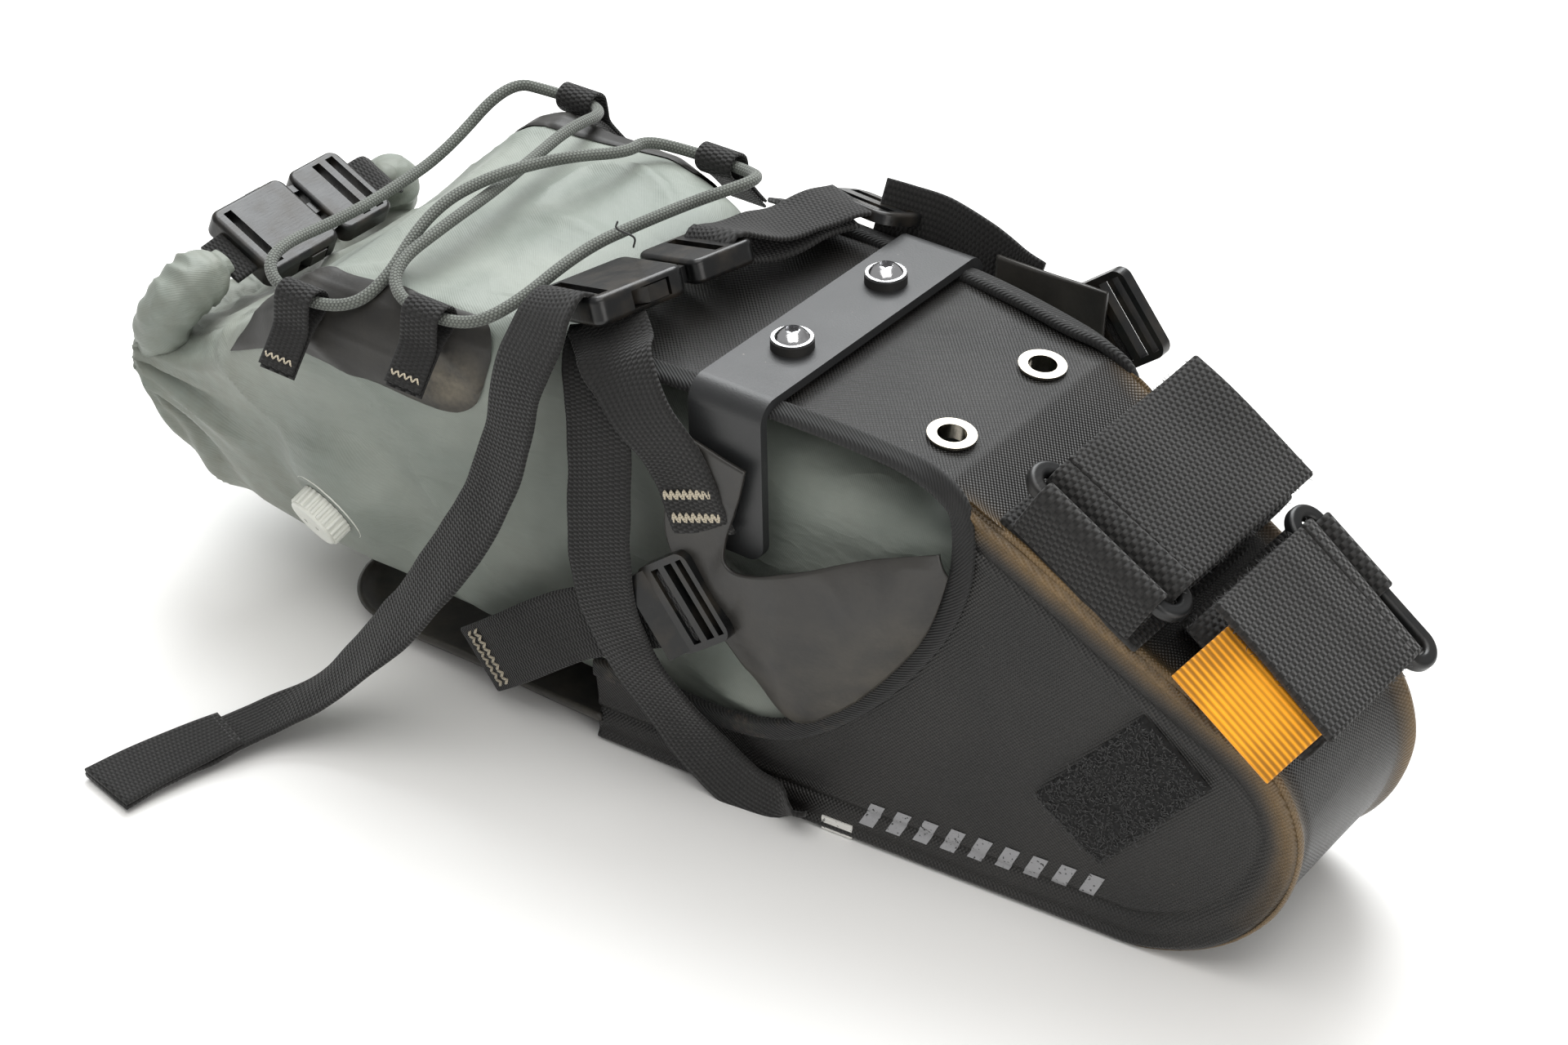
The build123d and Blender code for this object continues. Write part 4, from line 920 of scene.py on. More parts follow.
def bag_grid():
    """The loft as a grid of points, and the grid's (along, around) lengths."""
    table = np.array(BAG_ROWS)
    x = np.concatenate([np.linspace(158, -58, 70), np.linspace(-59.5, -256, 130)])
    rows = np.column_stack([np.interp(-x, -table[:, 0], column) for column in table.T])
    kernel = np.array([1, 3, 5, 6, 5, 3, 1.0])
    kernel /= kernel.sum()
    padded = np.pad(rows, ((3, 3), (0, 0)), mode="edge")
    rows[:, 1:] = np.stack([np.convolve(column, kernel, "valid") for column in padded[:, 1:].T], 1)
    rows[:, 0] = x
    ring = bag_ring(rows)
    points = np.concatenate([np.broadcast_to(x[:, None, None], (*ring.shape[:2], 1)), ring], -1)
    around = np.linalg.norm(np.roll(points, -1, 1) - points, axis=-1).cumsum(1)
    return points, np.stack([np.broadcast_to(-x[:, None], around.shape), around], -1)


SLANT = np.array([[0.8, 0, 0.6], [0, 1, 0], [-0.6, 0, 0.8]]) * (0.35, 1, 1)


def bag_folds(points):
    """Displacement along the normal: slack waves behind the holster and folds that gather at the
    mouth's corners."""
    x, y, z = points[..., 0], points[..., 1], points[..., 2]
    out = np.clip((-66 - x) / 40, 0, 1)
    tail = np.clip((-185 - x) / 45, 0, 1)
    slack = 2.6 * noise(points * (1, 0.8, 1), 56, 11) + 1.3 * noise(points, 25, 12)
    crease = 2.4 * fold(points * (0.45, 1, 1), 44, 13) + 2.0 * fold(points @ SLANT, 30, 14, 9)
    crease = crease + 1.5 * fold(points @ SLANT.T, 22, 19, 8) * tail.clip(0.25, 1)
    corner = np.stack([x + 250, z - 76], -1)
    far = np.linalg.norm(corner, axis=-1)
    angle = np.arctan2(corner[..., 1], corner[..., 0])
    star = np.sin(9 * angle + 1.6 * noise(points, 30,
        15)) + 0.6 * np.sin(17 * angle + 2.0 * noise(points, 21, 17))
    gather = 2.4 * star * np.clip(far / 14, 0, 1) * np.exp(-((far / 44) ** 2))
    side = np.clip((np.abs(y) - 30) / 18, 0, 1)
    top = np.clip((z - 70) / 20, 0, 1) * (1 - side)
    rolled = 1.5 * np.sin(y * 0.24 + 3 * noise(points, 34, 18)) * tail * top
    pocket = 4.0 * fold(points * (1, 0.3, 1) @ SLANT, 34, 16, 6) * np.clip((x + 40) / 30, 0, 1) - 1.2
    pinch = -3.0 * np.exp(-(((x + 60) / 13) ** 2)) * np.clip((z - 30) / 40, 0, 1)
    return out * (slack + crease - 2.4) + side * gather * out + rolled + pocket * (1 - out) + pinch - 0.4


VALVE_CENTRE, VALVE_OUT = np.array([-164.5, -61.8, 55.5]), unit(np.array([-0.18, -0.88, -0.44]))


def meet_valve(points):
    """The cloth is welded to the valve's flange: within 12 mm of its axis it lies in the flange's
    plane, fading by 32 mm."""
    height = (points - VALVE_CENTRE) @ VALVE_OUT
    away = np.linalg.norm(points - VALVE_CENTRE - height[..., None] * VALVE_OUT, axis=-1)
    share = np.clip((32 - away) / 20, 0, 1) * (height > -30)
    share = share * share * (3 - 2 * share)
    return points + (share * (2.75 - height))[..., None] * VALVE_OUT


bag_loft, bag_uv = bag_grid()
bag_points = bag_loft + grid_normals(bag_loft) * bag_folds(bag_loft)[..., None]
bag_points = meet_valve(bag_points)
print("bag grid", bag_points.shape)


# %% Dry bag ears
def pull_ears(points):
    """Near the mouth the two corners are drawn out and back into flat ears; the share falls off with
    distance."""
    moved = points.copy()
    for sign, reach in ((-1, (-9, -4, 6)), (1, (-8, 4, 8))):
        corner = np.array([-244, sign * 56, 74.0])
        far = np.sqrt(((points - corner) ** 2).sum(-1))
        share = np.exp(-((far / 17) ** 2))[..., None]
        moved = moved + share * np.array(reach)
    return moved


bag_points = pull_ears(bag_points)
# Darker towards the tail and towards the bottom: this mask feeds the grey-brown darkening of the bag cloth.
bag_darkening = 0.25 + 0.75 * np.clip((-150 - bag_points[..., 0]) / 90, 0, 1)
bag_darkening = bag_darkening * np.clip(1.3 - bag_points[..., 2] / 150, 0.25, 1)
bag_uv_full = np.concatenate([bag_uv, bag_uv[:, :1] * (1, 0) + (0, bag_uv[:, -1:, 1].max())], 1)
dry_bag = surface(
    "dry_bag_shell", bag_points, bag_uv_full, "dry_bag", sage_cloth, wrap=True, caps=True,
        fields={"dirt": bag_darkening}
)
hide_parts("dry_bag_body")
print("dry bag faces", len(dry_bag.data.polygons))


# %% Reading points on the bag
bag_normals = grid_normals(bag_points)


def on_bag(row, column, lift):
    """Point on the bag at fractional row and column of its grid, lift above the cloth, by blending the
    four neighbours."""
    r0 = np.clip(np.floor(row).astype(int), 0, bag_points.shape[0] - 2)
    c0 = np.floor(column).astype(int)
    fr, fc = (row - r0)[..., None], (column - c0)[..., None]
    n = bag_points.shape[1]

    def blend(grid):
        a, b = grid[r0, c0 % n], grid[r0, (c0 + 1) % n]
        c, d = grid[r0 + 1, c0 % n], grid[r0 + 1, (c0 + 1) % n]
        return (a * (1 - fc) + b * fc) * (1 - fr) + (c * (1 - fc) + d * fc) * fr

    return blend(bag_points) + unit(blend(bag_normals)) * np.asarray(lift)[..., None]


def row_at(x):
    """Grid row whose x is the given one."""
    return np.interp(-np.asarray(x, float), -bag_points[:, 0, 0], np.arange(len(bag_points)))


def column_at(x, y, z):
    """Grid column nearest to a point of the section at x."""
    ring = bag_points[int(round(float(row_at(x))))]
    return float(np.argmin(((ring[:, 1:] - (y, z)) ** 2).sum(1)))


print("bag top right shoulder column", column_at(-120, -60, 140))

# %% [markdown]
# Black rubbery panels are welded over the bag's top shoulders. Each is read off the bag's
# own grid, a millimetre above the cloth, so it follows every fold. Its edges run at a
# fixed distance from the shoulder, and towards the front they close in along a circle.


# %% Lash panels
PANEL_REAR = ((-173, -5), (-203, 18))
PANEL_FRONT = ((-88, 15), (-98, 51))


def column_along(row, side, distance):
    """Column at a distance round the section from the shoulder: each step between columns adds the
    share it covers."""
    steps = np.arange(-24, 80)
    ring = bag_loft[np.rint(row).astype(int)][:, :,
        steps % bag_loft.shape[1] if side < 0 else shoulder_left - steps]
    step = np.linalg.norm(np.diff(ring, axis=-2), axis=-1)
    gone = np.cumsum(step, -1) - step - step[..., :24].sum(-1, keepdims=True)
    share = np.clip((distance[..., None] - gone) / step, 0, 1).sum(-1) - 24
    return share if side < 0 else shoulder_left - share


shoulder_left = 183


def lash_panel(side):
    """Four-sided patch given by (x, distance from the shoulder) at its corners; towards the front it
    closes in along a circle."""
    u, v = np.linspace(0, 1, 90)[:, None], np.linspace(0, 1, 30)[None]
    inset = 1 - np.sqrt(1 - np.clip((u - 1) * 95 / 14 + 1, 0, 0.999) ** 2)
    v = 0.5 + (v - 0.5) * (1 - 0.72 * inset)
    (xa, sa), (xd, sd), (xb, sb), (xc, sc) = *PANEL_REAR, *PANEL_FRONT
    x = (xa + (xd - xa) * v) * (1 - u) + (xb + (xc - xb) * v) * u
    distance = (sa + (sd - sa) * v) * (1 - u) + (sb + (sc - sb) * v) * u
    row = row_at(x)
    edge = np.minimum(np.minimum(v, 1 - v) * 38, np.minimum(u, 1 - u) * 95)
    rib = 0.35 * np.exp(-((v * 38 - 9) ** 2)) + 0.35 * np.exp(-((v * 38 - 24) ** 2))
    points = on_bag(row, column_along(row, side, distance), 0.5 + 0.7 * np.clip(edge / 1.5, 0, 1) + rib)
    uv = np.stack([u * 95 + 0 * v, v * 38 + 0 * u], -1)
    mud = 0.9 * np.exp(-(((u - 0.88) / 0.13) ** 2) - ((v - 0.68) / 0.25) ** 2) + 0.06
    if side < 0:
        points, uv, mud = points[::-1], uv[::-1], mud[::-1]
    word = "right" if side < 0 else "left"
    made = surface(f"lash_panel_cover_{word}", points, uv, "dry_bag", panel_rubber,
        fields={"dirt": mud})
    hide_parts(f"lash_panel_{word}")
    return made


for side in (-1, 1):
    lash_panel(side)
print("lash panels made")

# %% [markdown]
# A webbing loop on each panel holds the elastic cord. The cord is a smooth NURBS curve
# through the route's control points, turned into a tube of braided sheath.

# %% Lash loops
LOOP_EYES = {
    "front_right": (-110, -64.5, 147.5, -1),
    "rear_right": (-160, -70.2, 139.3, -1),
    "front_left": (-92, 59.0, 153.4, 1),
    "rear_left": (-162, 70.4, 150.6, 1),
}
LOOP_ROUTE = [(25, -4.2), (15, -3.4), (7, -3.2), (1.5, -4.3), (-2.9, -3.3), (-4.5, 0.2), (-2.6, 3.7),
    (1.6, 4.4)]
LOOP_ROUTE += [(6, 1.8), (10, -0.9), (16, -1.9), (24, -2.6)]


def lash_loop(name, x, y, z, side):
    """Route (out along the shoulder, away from it) carried to the eye: the strap goes round the cord
    and back on itself."""
    down = np.array([0, side * cos(radians(46)), -sin(radians(46))])
    away = np.array([0, side * sin(radians(46)), cos(radians(46))])
    route = np.array(LOOP_ROUTE)
    centre = np.array([x, y, z]) + route[:, :1] * down + route[:, 1:] * away
    rows = np.hstack([centre, np.tile([1.0, 0, 0], (len(route), 1))])
    made, track = band(f"lash_strap_{name}", rows, 15, 1.0, "dry_bag", webbing, 70)
    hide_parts(f"lash_loop_{name}")
    starts, ends = zigzag(track, track.length - 3.5, 12, 9, 1.8, 0.75 if side < 0 else -0.75)
    outward = np.tile(away, (len(starts), 1))
    stitches(f"lash_tack_{name}", starts, ends, outward, 0.32, "dry_bag", cream_thread)


for name, values in LOOP_EYES.items():
    lash_loop(name, *values)

# %% Elastic cord
CORD_ROUTE = [
    (-110.4, -64.5, 147.5), (-123, -64.5, 147.5), (-134, -54.5, 152.5), (-132, -30, 157.5), (-135, -5, 157),
    (-140, 20, 156.5), (-144, 44, 157), (-149, 70.4, 150.6), (-175, 70.4, 150.6), (-186, 60.4, 155.6),
    (-189, 30, 140), (-187, 3, 139), (-185, -24, 140), (-184, -60.2, 144.3), (-173, -70.2, 139.3),
    (-147, -70.2, 139.3), (-136, -60.2, 144.3), (-141, -30, 158.5), (-136, -6, 162.5), (-124, 18, 163),
    (-114, 38, 159), (-116, 49.0, 158.4), (-105, 59.0, 153.4), (-79, 59.0, 153.4), (-68, 49.0, 158.4),
    (-76, 28, 158), (-80, 4, 159), (-85, -20, 158.5), (-86, -54.5, 152.5), (-97, -64.5, 147.5),
    (-109.6, -64.5, 147.5),
]


def nurbs_points(route):
    """Points of the quadratic NURBS curve whose control points are the route, read from Blender's own
    curve."""
    curve = bpy.data.curves.new("cord_line", "CURVE")
    curve.dimensions = "3D"
    line = curve.splines.new("NURBS")
    line.points.add(len(route) - 1)
    line.points.foreach_set("co", np.column_stack([np.array(route) * 0.001, np.ones(len(route))]).ravel())
    line.order_u = 3
    line.use_endpoint_u = True
    line.resolution_u = 16
    holder = bpy.data.objects.new("cord_line", curve)
    bpy.context.scene.collection.objects.link(holder)
    mesh = bpy.data.meshes.new_from_object(holder.evaluated_get(bpy.context.evaluated_depsgraph_get()))
    points = np.zeros(len(mesh.vertices) * 3)
    mesh.vertices.foreach_get("co", points)
    bpy.data.objects.remove(holder)
    bpy.data.meshes.remove(mesh)
    return points.reshape(-1, 3) * 1000


def tube(name, path, radius, body, material, sides=14):
    """Circle carried along a path; its first direction lies level, across the path."""
    along = unit(np.gradient(path, axis=0))
    flat = unit(np.cross(along, np.array([0.0, 0.0, 1.0])))
    rise = np.cross(flat, along)
    turn = np.arange(sides) * 2 * pi / sides
    radius = np.broadcast_to(np.asarray(radius, float), (len(path),))[:, None, None]
    points = path[:, None] + radius * (np.cos(-turn)[None, :, None] * flat[:,
        None] + np.sin(-turn)[None, :, None] * rise[:, None])
    gone = np.concatenate([[0], np.cumsum(np.linalg.norm(np.diff(path, axis=0), axis=1))])
    around = np.arange(sides + 1) * 2 * pi / sides * radius[0, 0, 0]
    uv = np.stack(np.broadcast_arrays(gone[:, None], around[None]), -1)
    return surface(name, points, uv, body, material, wrap=True, caps=True)


cord_path = nurbs_points(CORD_ROUTE)
cord = tube("elastic_cord_sheath", cord_path, 2.0, "dry_bag", cord_sheath)
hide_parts("elastic_cord")
print("cord", round(float(np.linalg.norm(np.diff(cord_path, axis=0), axis=1).sum())), "mm")

# %% [markdown]
# The bag's mouth is rolled up and its two ends are bent round to the buckle. The roll is
# an oval carried along that bend: wrinkles run round it where the cloth is squeezed, and
# a raised lip shows where the last turn of the roll ends.

# %% Rolled mouth
ROLL_RIGHT = [(-20, 0), (-38, 1), (-51, 7), (-56, 17), (-53, 27), (-44, 33), (-31, 35)]
ROLL_LEFT = [(20, 0), (40, 1), (52, 7), (58, 17), (56, 27), (49, 34)]
ROLL_UP = np.array([cos(radians(64.5)), 0, sin(radians(64.5))])
ROLL_ACROSS = np.array([-sin(radians(64.5)), 0, cos(radians(64.5))])


def roll_stations(path):
    """Rows of centre and across from (y, up) in the plane that leans forward."""
    y, up = np.array(path, float).T
    centre = np.array([-254.0, 0, 77.0]) + up[:, None] * ROLL_UP + y[:, None] * np.array([0, 1.0, 0])
    return np.hstack([centre, np.tile(ROLL_ACROSS, (len(centre), 1))])


def rolled_mouth():
    """Oval 21 by 12 mm along the roll, with ring wrinkles, long creases and the step of the outer turn."""
    track = Band(roll_stations(ROLL_RIGHT[::-1] + ROLL_LEFT), 260)
    turn = np.linspace(0, 2 * pi, 48, endpoint=False)[None]
    s = track.gone[:, None]
    bent = np.clip((np.abs(track.centre[:, 1:2]) - 22) / 20, 0, 1)
    place = np.stack([s + 0 * turn, 14 * np.cos(turn) + 0 * s, 14 * np.sin(turn) + 0 * s], -1)
    wrinkle = 1.5 * fold(place * (1.7, 0.45, 0.45), 9, 21, 5) + 0.5 * noise(place * (0.5, 1, 1), 11, 22)
    rings = 0.35 * np.sin(s * 1.1 + 3.2 * noise(place, 16, 23))
    lip = 1.3 * np.exp(-(((turn - 2.2) / 0.25) ** 2)) + 0.8 * np.exp(-(((turn - 4.4) / 0.3) ** 2))
    end = np.clip(np.minimum(track.gone, track.length - track.gone) / 9, 0.25, 1)[:, None] ** 0.5
    wide = (10.2 + wrinkle * 0.6 + rings * bent + lip) * end
    tall = (5.6 + 2.6 * bent + wrinkle * 0.8 + rings * bent * 0.8 + lip) * end
    points = track.centre[:, None] + track.across[:, None] * (wide * np.cos(turn))[..., None]
    points = points + track.up[:, None] * (tall * np.sin(turn))[..., None]
    points = points[:, ::-1]
    uv = np.stack([s + 0 * turn, 9 * turn + 0 * s], -1)
    uv = np.concatenate([uv, uv[:, :1] + (0, 57)], 1)
    dirt = np.full(points.shape[:2], 0.55)
    made = surface("rolled_mouth_cloth", points, uv, "dry_bag", sage_cloth, wrap=True,
        caps=True, fields={"dirt": dirt})
    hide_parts("closure_roll")
    return made


rolled_mouth()
for word, path in (("right", [(-33, 34.6), (-24, 36.5), (-19, 36)]),
    ("left", [(50, 33), (45, 36.5), (36, 36)])):
    made, _ = band(f"closure_web_{word}", roll_stations(path), 19, 1.7, "dry_bag", webbing, 24)
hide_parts("closure_webbing")
print("rolled mouth made")

# %% [markdown]
# The compression webbing is woven tape, 25 mm wide and 1.6 mm thick. Each run is a band
# through a few stations. Its sewn ends carry bar tacks: zigzag rows of cream thread.

# %% Webbing runs
TAIL = [
    (-57, -43.5, 155.8, 23, -6, 8), (-60.3, -48.6, 160.5, 23, -6, 8), (-63.2, -53.2, 166.6, 23, -6, 8),
    (-65, -59, 163, 23, -6, 6), (-67, -63.5, 154, 24, -5, 4), (-71, -69, 140, 24, -6, 3),
    (-74, -74, 116, 24, -8, 2),
    (-82, -79.5, 92, 24, -9, 3), (-97, -87, 65, 24, -9, 6), (-115, -95, 40, 23, -9, 9),
    (-133, -104, 18.5, 22, -8, 11),
    (-148, -117, 7, 23, -7, 7), (-158, -137, 3.4, 23, -8, 3), (-164, -157, 2.6, 22, -8, 1),
    (-167, -172, 2.2, 20, -10, 0),
]
ARM = -60.6
WING_RIGHT = [
    (-6, ARM - 0.4, 105, 25, 0, 14), (-15, ARM - 1.8, 127, 25, 0, 14), (-26, ARM - 3.6, 141, 25, 0, 11),
    (-37, ARM + 0.5, 151.5, 25, 2, 8), (-46, -52.5, 154.6, 25, 3, 4), (-55, -46, 157.6, 24, 2, 3),
]
WING_LEFT = [
    (-27, 57, 154.8, 2, 12, 22), (-20, 61.5, 152.5, 0, 8, 25), (-8, 66, 150, 0, 5, 25),
    (6, 66.6, 146.5, 0, 4, 25),
    (18, 66.6, 141.5, 0, 3, 25), (27, 66.8, 139, 0, 2, 25),
]
SIDE_RIGHT = [
    (-54, -46, 154.5, 25, 0, 2), (-49, -57, 148.5, 25, 0, 2), (-45, -62.4, 136, 25, 0, 1),
    (-43, -66, 114, 25, 0, 0),
    (-42, -68.5, 92, 25, 0, 0), (-40, -69, 72, 25, 0, 2), (-34, -66.5, 51, 25, 0, 6),
    (-21, -61.5, 30, 25, 0, 10),
    (-8, -58.4, 15.5, 24, 1, 10), (4, -56.8, 8, 23, 3, 6), (15, -54, 4.2, 22, 6, 1), (22, -50, 2.6, 21, 8, 0),
]
FLAP_RIGHT = [
    (-106, -58.4, 13.5, -15, 0, 20), (-97, -61.8, 21, -15, 0, 20), (-86, -64.2, 30, -15, 0, 20),
    (-64, -63.4, 47, -15, 0, 20),
    (-42, -62.6, 60, -15, 0, 20), (-25, -63.2, 69.5, -15, 0, 20), (-13, -63.6, 77.5, -15, 0, 20),
]
FLAP_LEFT = [
    (-105, 57.6, 14, -15, 0, 20), (-86, 63.6, 30, -15, 0, 20), (-64, 62.4, 45, -15, 0, 20),
    (-42, 61.6, 58, -15, 0, 20),
    (-14, 62.6, 80, -15, 0, 20), (16, 63.8, 104, -15, 0, 20), (42, 68.7, 126, -15, 0, 20),
    (56, 69.6, 137, -15, 0, 20),
]
TOP_DOUBLE = [
    (-35, 46, 158.4, 25, -2, 0), (-39, 33, 158.2, 25, -4, 2), (-42, 21, 157.2, 25, -6, 1),
    (-46.2, 8, 156.2, 24, -6, 6),
    (-48.2, 1.0, 156.8, 24, -6, 8), (-49.2, -1.6, 161, 24, -6, 8), (-48.4, 1.2, 166.6, 24, -6, 8),
    (-46, 9, 164.4, 24, -6, 5),
    (-43, 20, 161.8, 25, -6, 1), (-40, 32, 161.6, 25, -4, 2), (-36, 44, 161.8, 25, -2, 0),
    (-33, 52, 160.6, 25, -2, 0),
]
WEB_RUNS = {
    "strap_tail": (TAIL, ["strap_tail"]),
    "wing_web_right": (WING_RIGHT, ["wing_webbing_right"]),
    "wing_web_left": (WING_LEFT, ["wing_webbing_left"]),
    "side_web_right": (SIDE_RIGHT, ["side_webbing_right"]),
    "flap_web_right": (FLAP_RIGHT, ["flap_webbing_right"]),
    "flap_web_left": (FLAP_LEFT, ["flap_webbing_left"]),
    "top_web": (TOP_DOUBLE, ["top_webbing"]),
}


def flutter(seed):
    """Small lift of a band: slow waves along it and a slight curl at its edges, none at its ends."""

    def bend(s, c):
        calm = np.clip(s / 15, 0, 1) * np.clip((s.max() - s) / 15, 0, 1)
        where = np.stack([s, c, 0 * s], -1)
        return calm * (0.9 * noise(where * (1, 1.5, 1), 22, seed) + 0.5 * noise(where, 9,
            seed + 1) * (c / 12.5) ** 2)

    return bend


tracks = {}
for seed, (name, (stations, nodes)) in enumerate(WEB_RUNS.items()):
    made, tracks[name] = band(name + "_tape", stations, 25, 1.7, "holster", webbing,
        bend=flutter(seed))
    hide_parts(*nodes)
side_left = np.array(SIDE_RIGHT, float) * (1, -1, 1, 1, -1, 1)
made, tracks["side_web_left"] = band("side_web_left_tape", side_left, 25, 1.7, "holster", webbing,
    bend=flutter(9))
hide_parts("side_webbing_left")
print({name: round(track.length) for name, track in tracks.items()})


# %% Bar tacks and the folded end of the strap
def tacks(name, track, rows, lift, width=20, legs=15, reach=2.6):
    """Zigzag rows across the band at each s; each row is sewn twice, half a leg apart."""
    starts, ends = zip(*[zigzag(track, s + d, width, legs, reach, lift) for s in rows for d in (0, 0.9)])
    outward = track.read(track.up, np.full(len(np.vstack(starts)), rows[0])) * np.sign(lift)
    return stitches(name, np.vstack(starts), np.vstack(ends), outward, 0.34, "holster", cream_thread)


tacks("wing_web_tacks", tracks["wing_web_right"], (5.5, 13.5), -1.15)
tacks("flap_web_tacks", tracks["flap_web_right"], (6.5, 12.0), 1.15, width=21)
tacks("flap_web_tacks_left", tracks["flap_web_left"], (6.5, 12.0), -1.15, width=21)
tail = tracks["strap_tail"]
hem_s = np.linspace(tail.length - 46, tail.length - 0.2, 16)
hem_rows = np.hstack([tail.at(hem_s, 0, 1.7), tail.read(tail.across, hem_s)])
_, hem = band("strap_tail_hem", hem_rows, 25, 1.7, "holster", webbing, 40)
edge = np.stack([hem.at(np.full(2, 2.2), c, 1.0)[0] for c in np.linspace(-11, 11, 30)])
starts, ends = running(edge, 2.4)
stitches("strap_hem_stitch", starts, ends, np.tile([0, 0, 1.0], (len(starts), 1)), 0.3, "holster",
    black_thread)
thread = spline([(-64, -20, 166), (-62, -22, 171), (-66, -25, 174), (-64, -27, 178)], 40)
tube("loose_thread", thread, 0.35, "holster", black_thread, 6)
print("tacks sewn")

# %% [markdown]
# A rubber-coated wing is sewn along the front of each opening. On the right its arm
# rises outside the bracket's leg and folds over at a V, so the lower lobe hangs open
# like a pocket. The surface is ruled between its two edges, with a bulge in the lobe.

# %% Wing tabs
WING_INNER = [
    (10, -60.6, 133), (6.5, -60.8, 119), (3.2, -62.6, 107), (4.5, -64.6, 100.5), (12, -65, 99.4),
    (28, -62.5, 105),
    (50, -56.5, 115), (72, -49.5, 122.5),
]
WING_OUTER = [
    (-14, -60.6, 138), (-18.5, -60.8, 119), (-21, -60.8, 101), (-13.5, -62, 86), (-4, -61.2, 73.5),
    (7, -56.5, 56),
    (20, -52.2, 41), (36, -50.2, 50.5), (53, -49.6, 70), (67, -48.8, 92), (74, -48.2, 115),
]
SLACK_INNER = [(55, 65, 150), (54, 64, 130), (53, 61, 117), (55, 58, 114), (60, 54.5, 118), (66, 51.8, 122.5)]
SLACK_OUTER = [
    (14, 65, 150), (13, 64, 128), (11, 62, 104), (6, 60, 84), (8, 57.5, 66), (18, 55.4, 54),
    (31, 53.6, 59), (53, 52.2, 85),
    (67, 50.4, 118),
]


def wing(name, inner, outer, side, node):
    """Ruled between two edges; a bulge outwards grows in the lobe, with slow waves and folds over the whole
    sheet.
    """
    first, last = spline(inner, 120), spline(outer, 120)
    v = np.linspace(0, 1, 44)[None, :, None]
    points = first[:, None] * (1 - v) + last[:, None] * v
    share = np.linspace(0, 1, 120)[:, None]
    lobe = np.clip((share - 0.38) / 0.15, 0, 1) * np.clip((1.02 - share) / 0.2, 0, 1)
    bulge = 5.5 * lobe * np.sin(pi * v[..., 0]) ** 0.8 + 0.8 * noise(points, 19,
        31) + 0.5 * fold(points, 15, 32)
    points = points + (bulge * side)[..., None] * (0, 1, 0)
    if side > 0:
        points = points[::-1]
    gone = np.linspace(0, 150, 120)[:, None] + 0 * v[..., 0]
    uv = np.stack([gone, v[..., 0] * 35 + 0 * gone], -1)
    dirt = 0.08 + 0.3 * lobe * (v[..., 0] ** 2)
    made = surface(name, points, uv, "holster", wing_rubber,
        fields={"dirt": dirt * 0.7 + 0 * gone})
    modify(made, "SOLIDIFY", thickness=0.0013, offset=0)
    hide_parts(node)
    return made


wing("wing_tab_cloth_right", WING_INNER, WING_OUTER, -1, "wing_tab_right")
wing("wing_tab_cloth_left", SLACK_INNER, SLACK_OUTER, 1, "wing_tab_left")
print("wing tabs made")

# %% [markdown]
# Two wide straps close round the seatpost. Each is sewn to the face, runs back and
# through an oval ring, and folds over itself. Everything is drawn in the strap's own
# plane: y across the bag and up away from the face, then carried into place.

# %% Seatpost straps
FACE_TILT = atan2(SHOULDER_Z - BROW_Z, BROW_X - SHOULDER_X)
RING_HALF = 5.2


class StrapPlane:
    """Plane on the seatpost face at x, turned by extra and lifted; side is -1 when the strap is mirrored."""

    def __init__(self, x, extra, lift, side):
        tilt = FACE_TILT + extra
        self.down = np.array([cos(tilt), 0, -sin(tilt)])
        self.out = np.array([sin(tilt), 0, cos(tilt)])
        height = BROW_Z + (BROW_X - x) * (SHOULDER_Z - BROW_Z) / (BROW_X - SHOULDER_X)
        self.origin = np.array([x, 0, height]) + self.out * lift
        self.side = side

    def stations(self, path, shift=0.0):
        """Rows of centre and across for a path of (y, up)."""
        y, up = np.array(path, float).T
        centre = self.origin + self.down * shift + up[:, None] * self.out + (y * self.side)[:,
            None] * np.array([0, 1.0, 0])
        return np.hstack([centre, np.tile(self.down, (len(centre), 1))])


def strap_path(bar, reach):
    """From the sewn patch out to the bend, back under the flap, and up round the ring's inner bar."""
    bend = reach - 6
    path = [(4, 3.6), (14, 3.7), (bend - 6, 3.8), (bend, 3.9), (bend + 3.6, 6.2), (bend + 3.6, 9.2),
        (bend - 1, 11.5)]
    path += [(bend - 12, 11.6), (0, 11.4), (bar + 7, 11.6), (bar, 11.4), (bar - 3.3, 12.9),
        (bar - 4.5, 16), (bar - 3.2, 19.2)]
    return path + [(bar, 20.4), (bar + 2.2, 20.5)]


def wavy(seed, amount):
    """Stiff strap that has been bent and flattened: long waves, more at its free end."""

    def bend(s, c):
        where = np.stack([s, c * 0.6, 0 * s], -1)
        free = np.clip(s / s.max(), 0, 1)
        return (amount * noise(where, 24,
            seed) + 0.5 * np.sin(s / 9 + seed) * (c / 25)) * np.clip(s / 12, 0, 1) * (0.5 + free)

    return bend


def fuzz(name, track, width, body, count, seed):
    """Short loose fibres along both edges and the free end of a strap, each a thin sunk stitch in a
    random direction."""
    rng = np.random.default_rng(seed)
    s = rng.uniform(2, track.length - 0.5, count)
    c = np.where(rng.random(count) < 0.5, -1, 1) * (width / 2 - 0.2)
    end = rng.random(count) < 0.35
    s = np.where(end, track.length - 0.3, s)
    c = np.where(end, rng.uniform(-width / 2, width / 2, count), c)
    h = rng.uniform(-0.8, 0.8, count)
    starts = track.at(s, c, h)
    ends = track.at(s + end * rng.uniform(0.6, 1.8, count), c * (1 + 0.05 * ~end * rng.random(count)),
        h + rng.uniform(-0.8, 0.8, count))
    ends = ends + rng.normal(0, 0.5, (count, 3))
    return stitches(name, starts, ends, track.read(track.up, s), 0.09, body, black_thread)


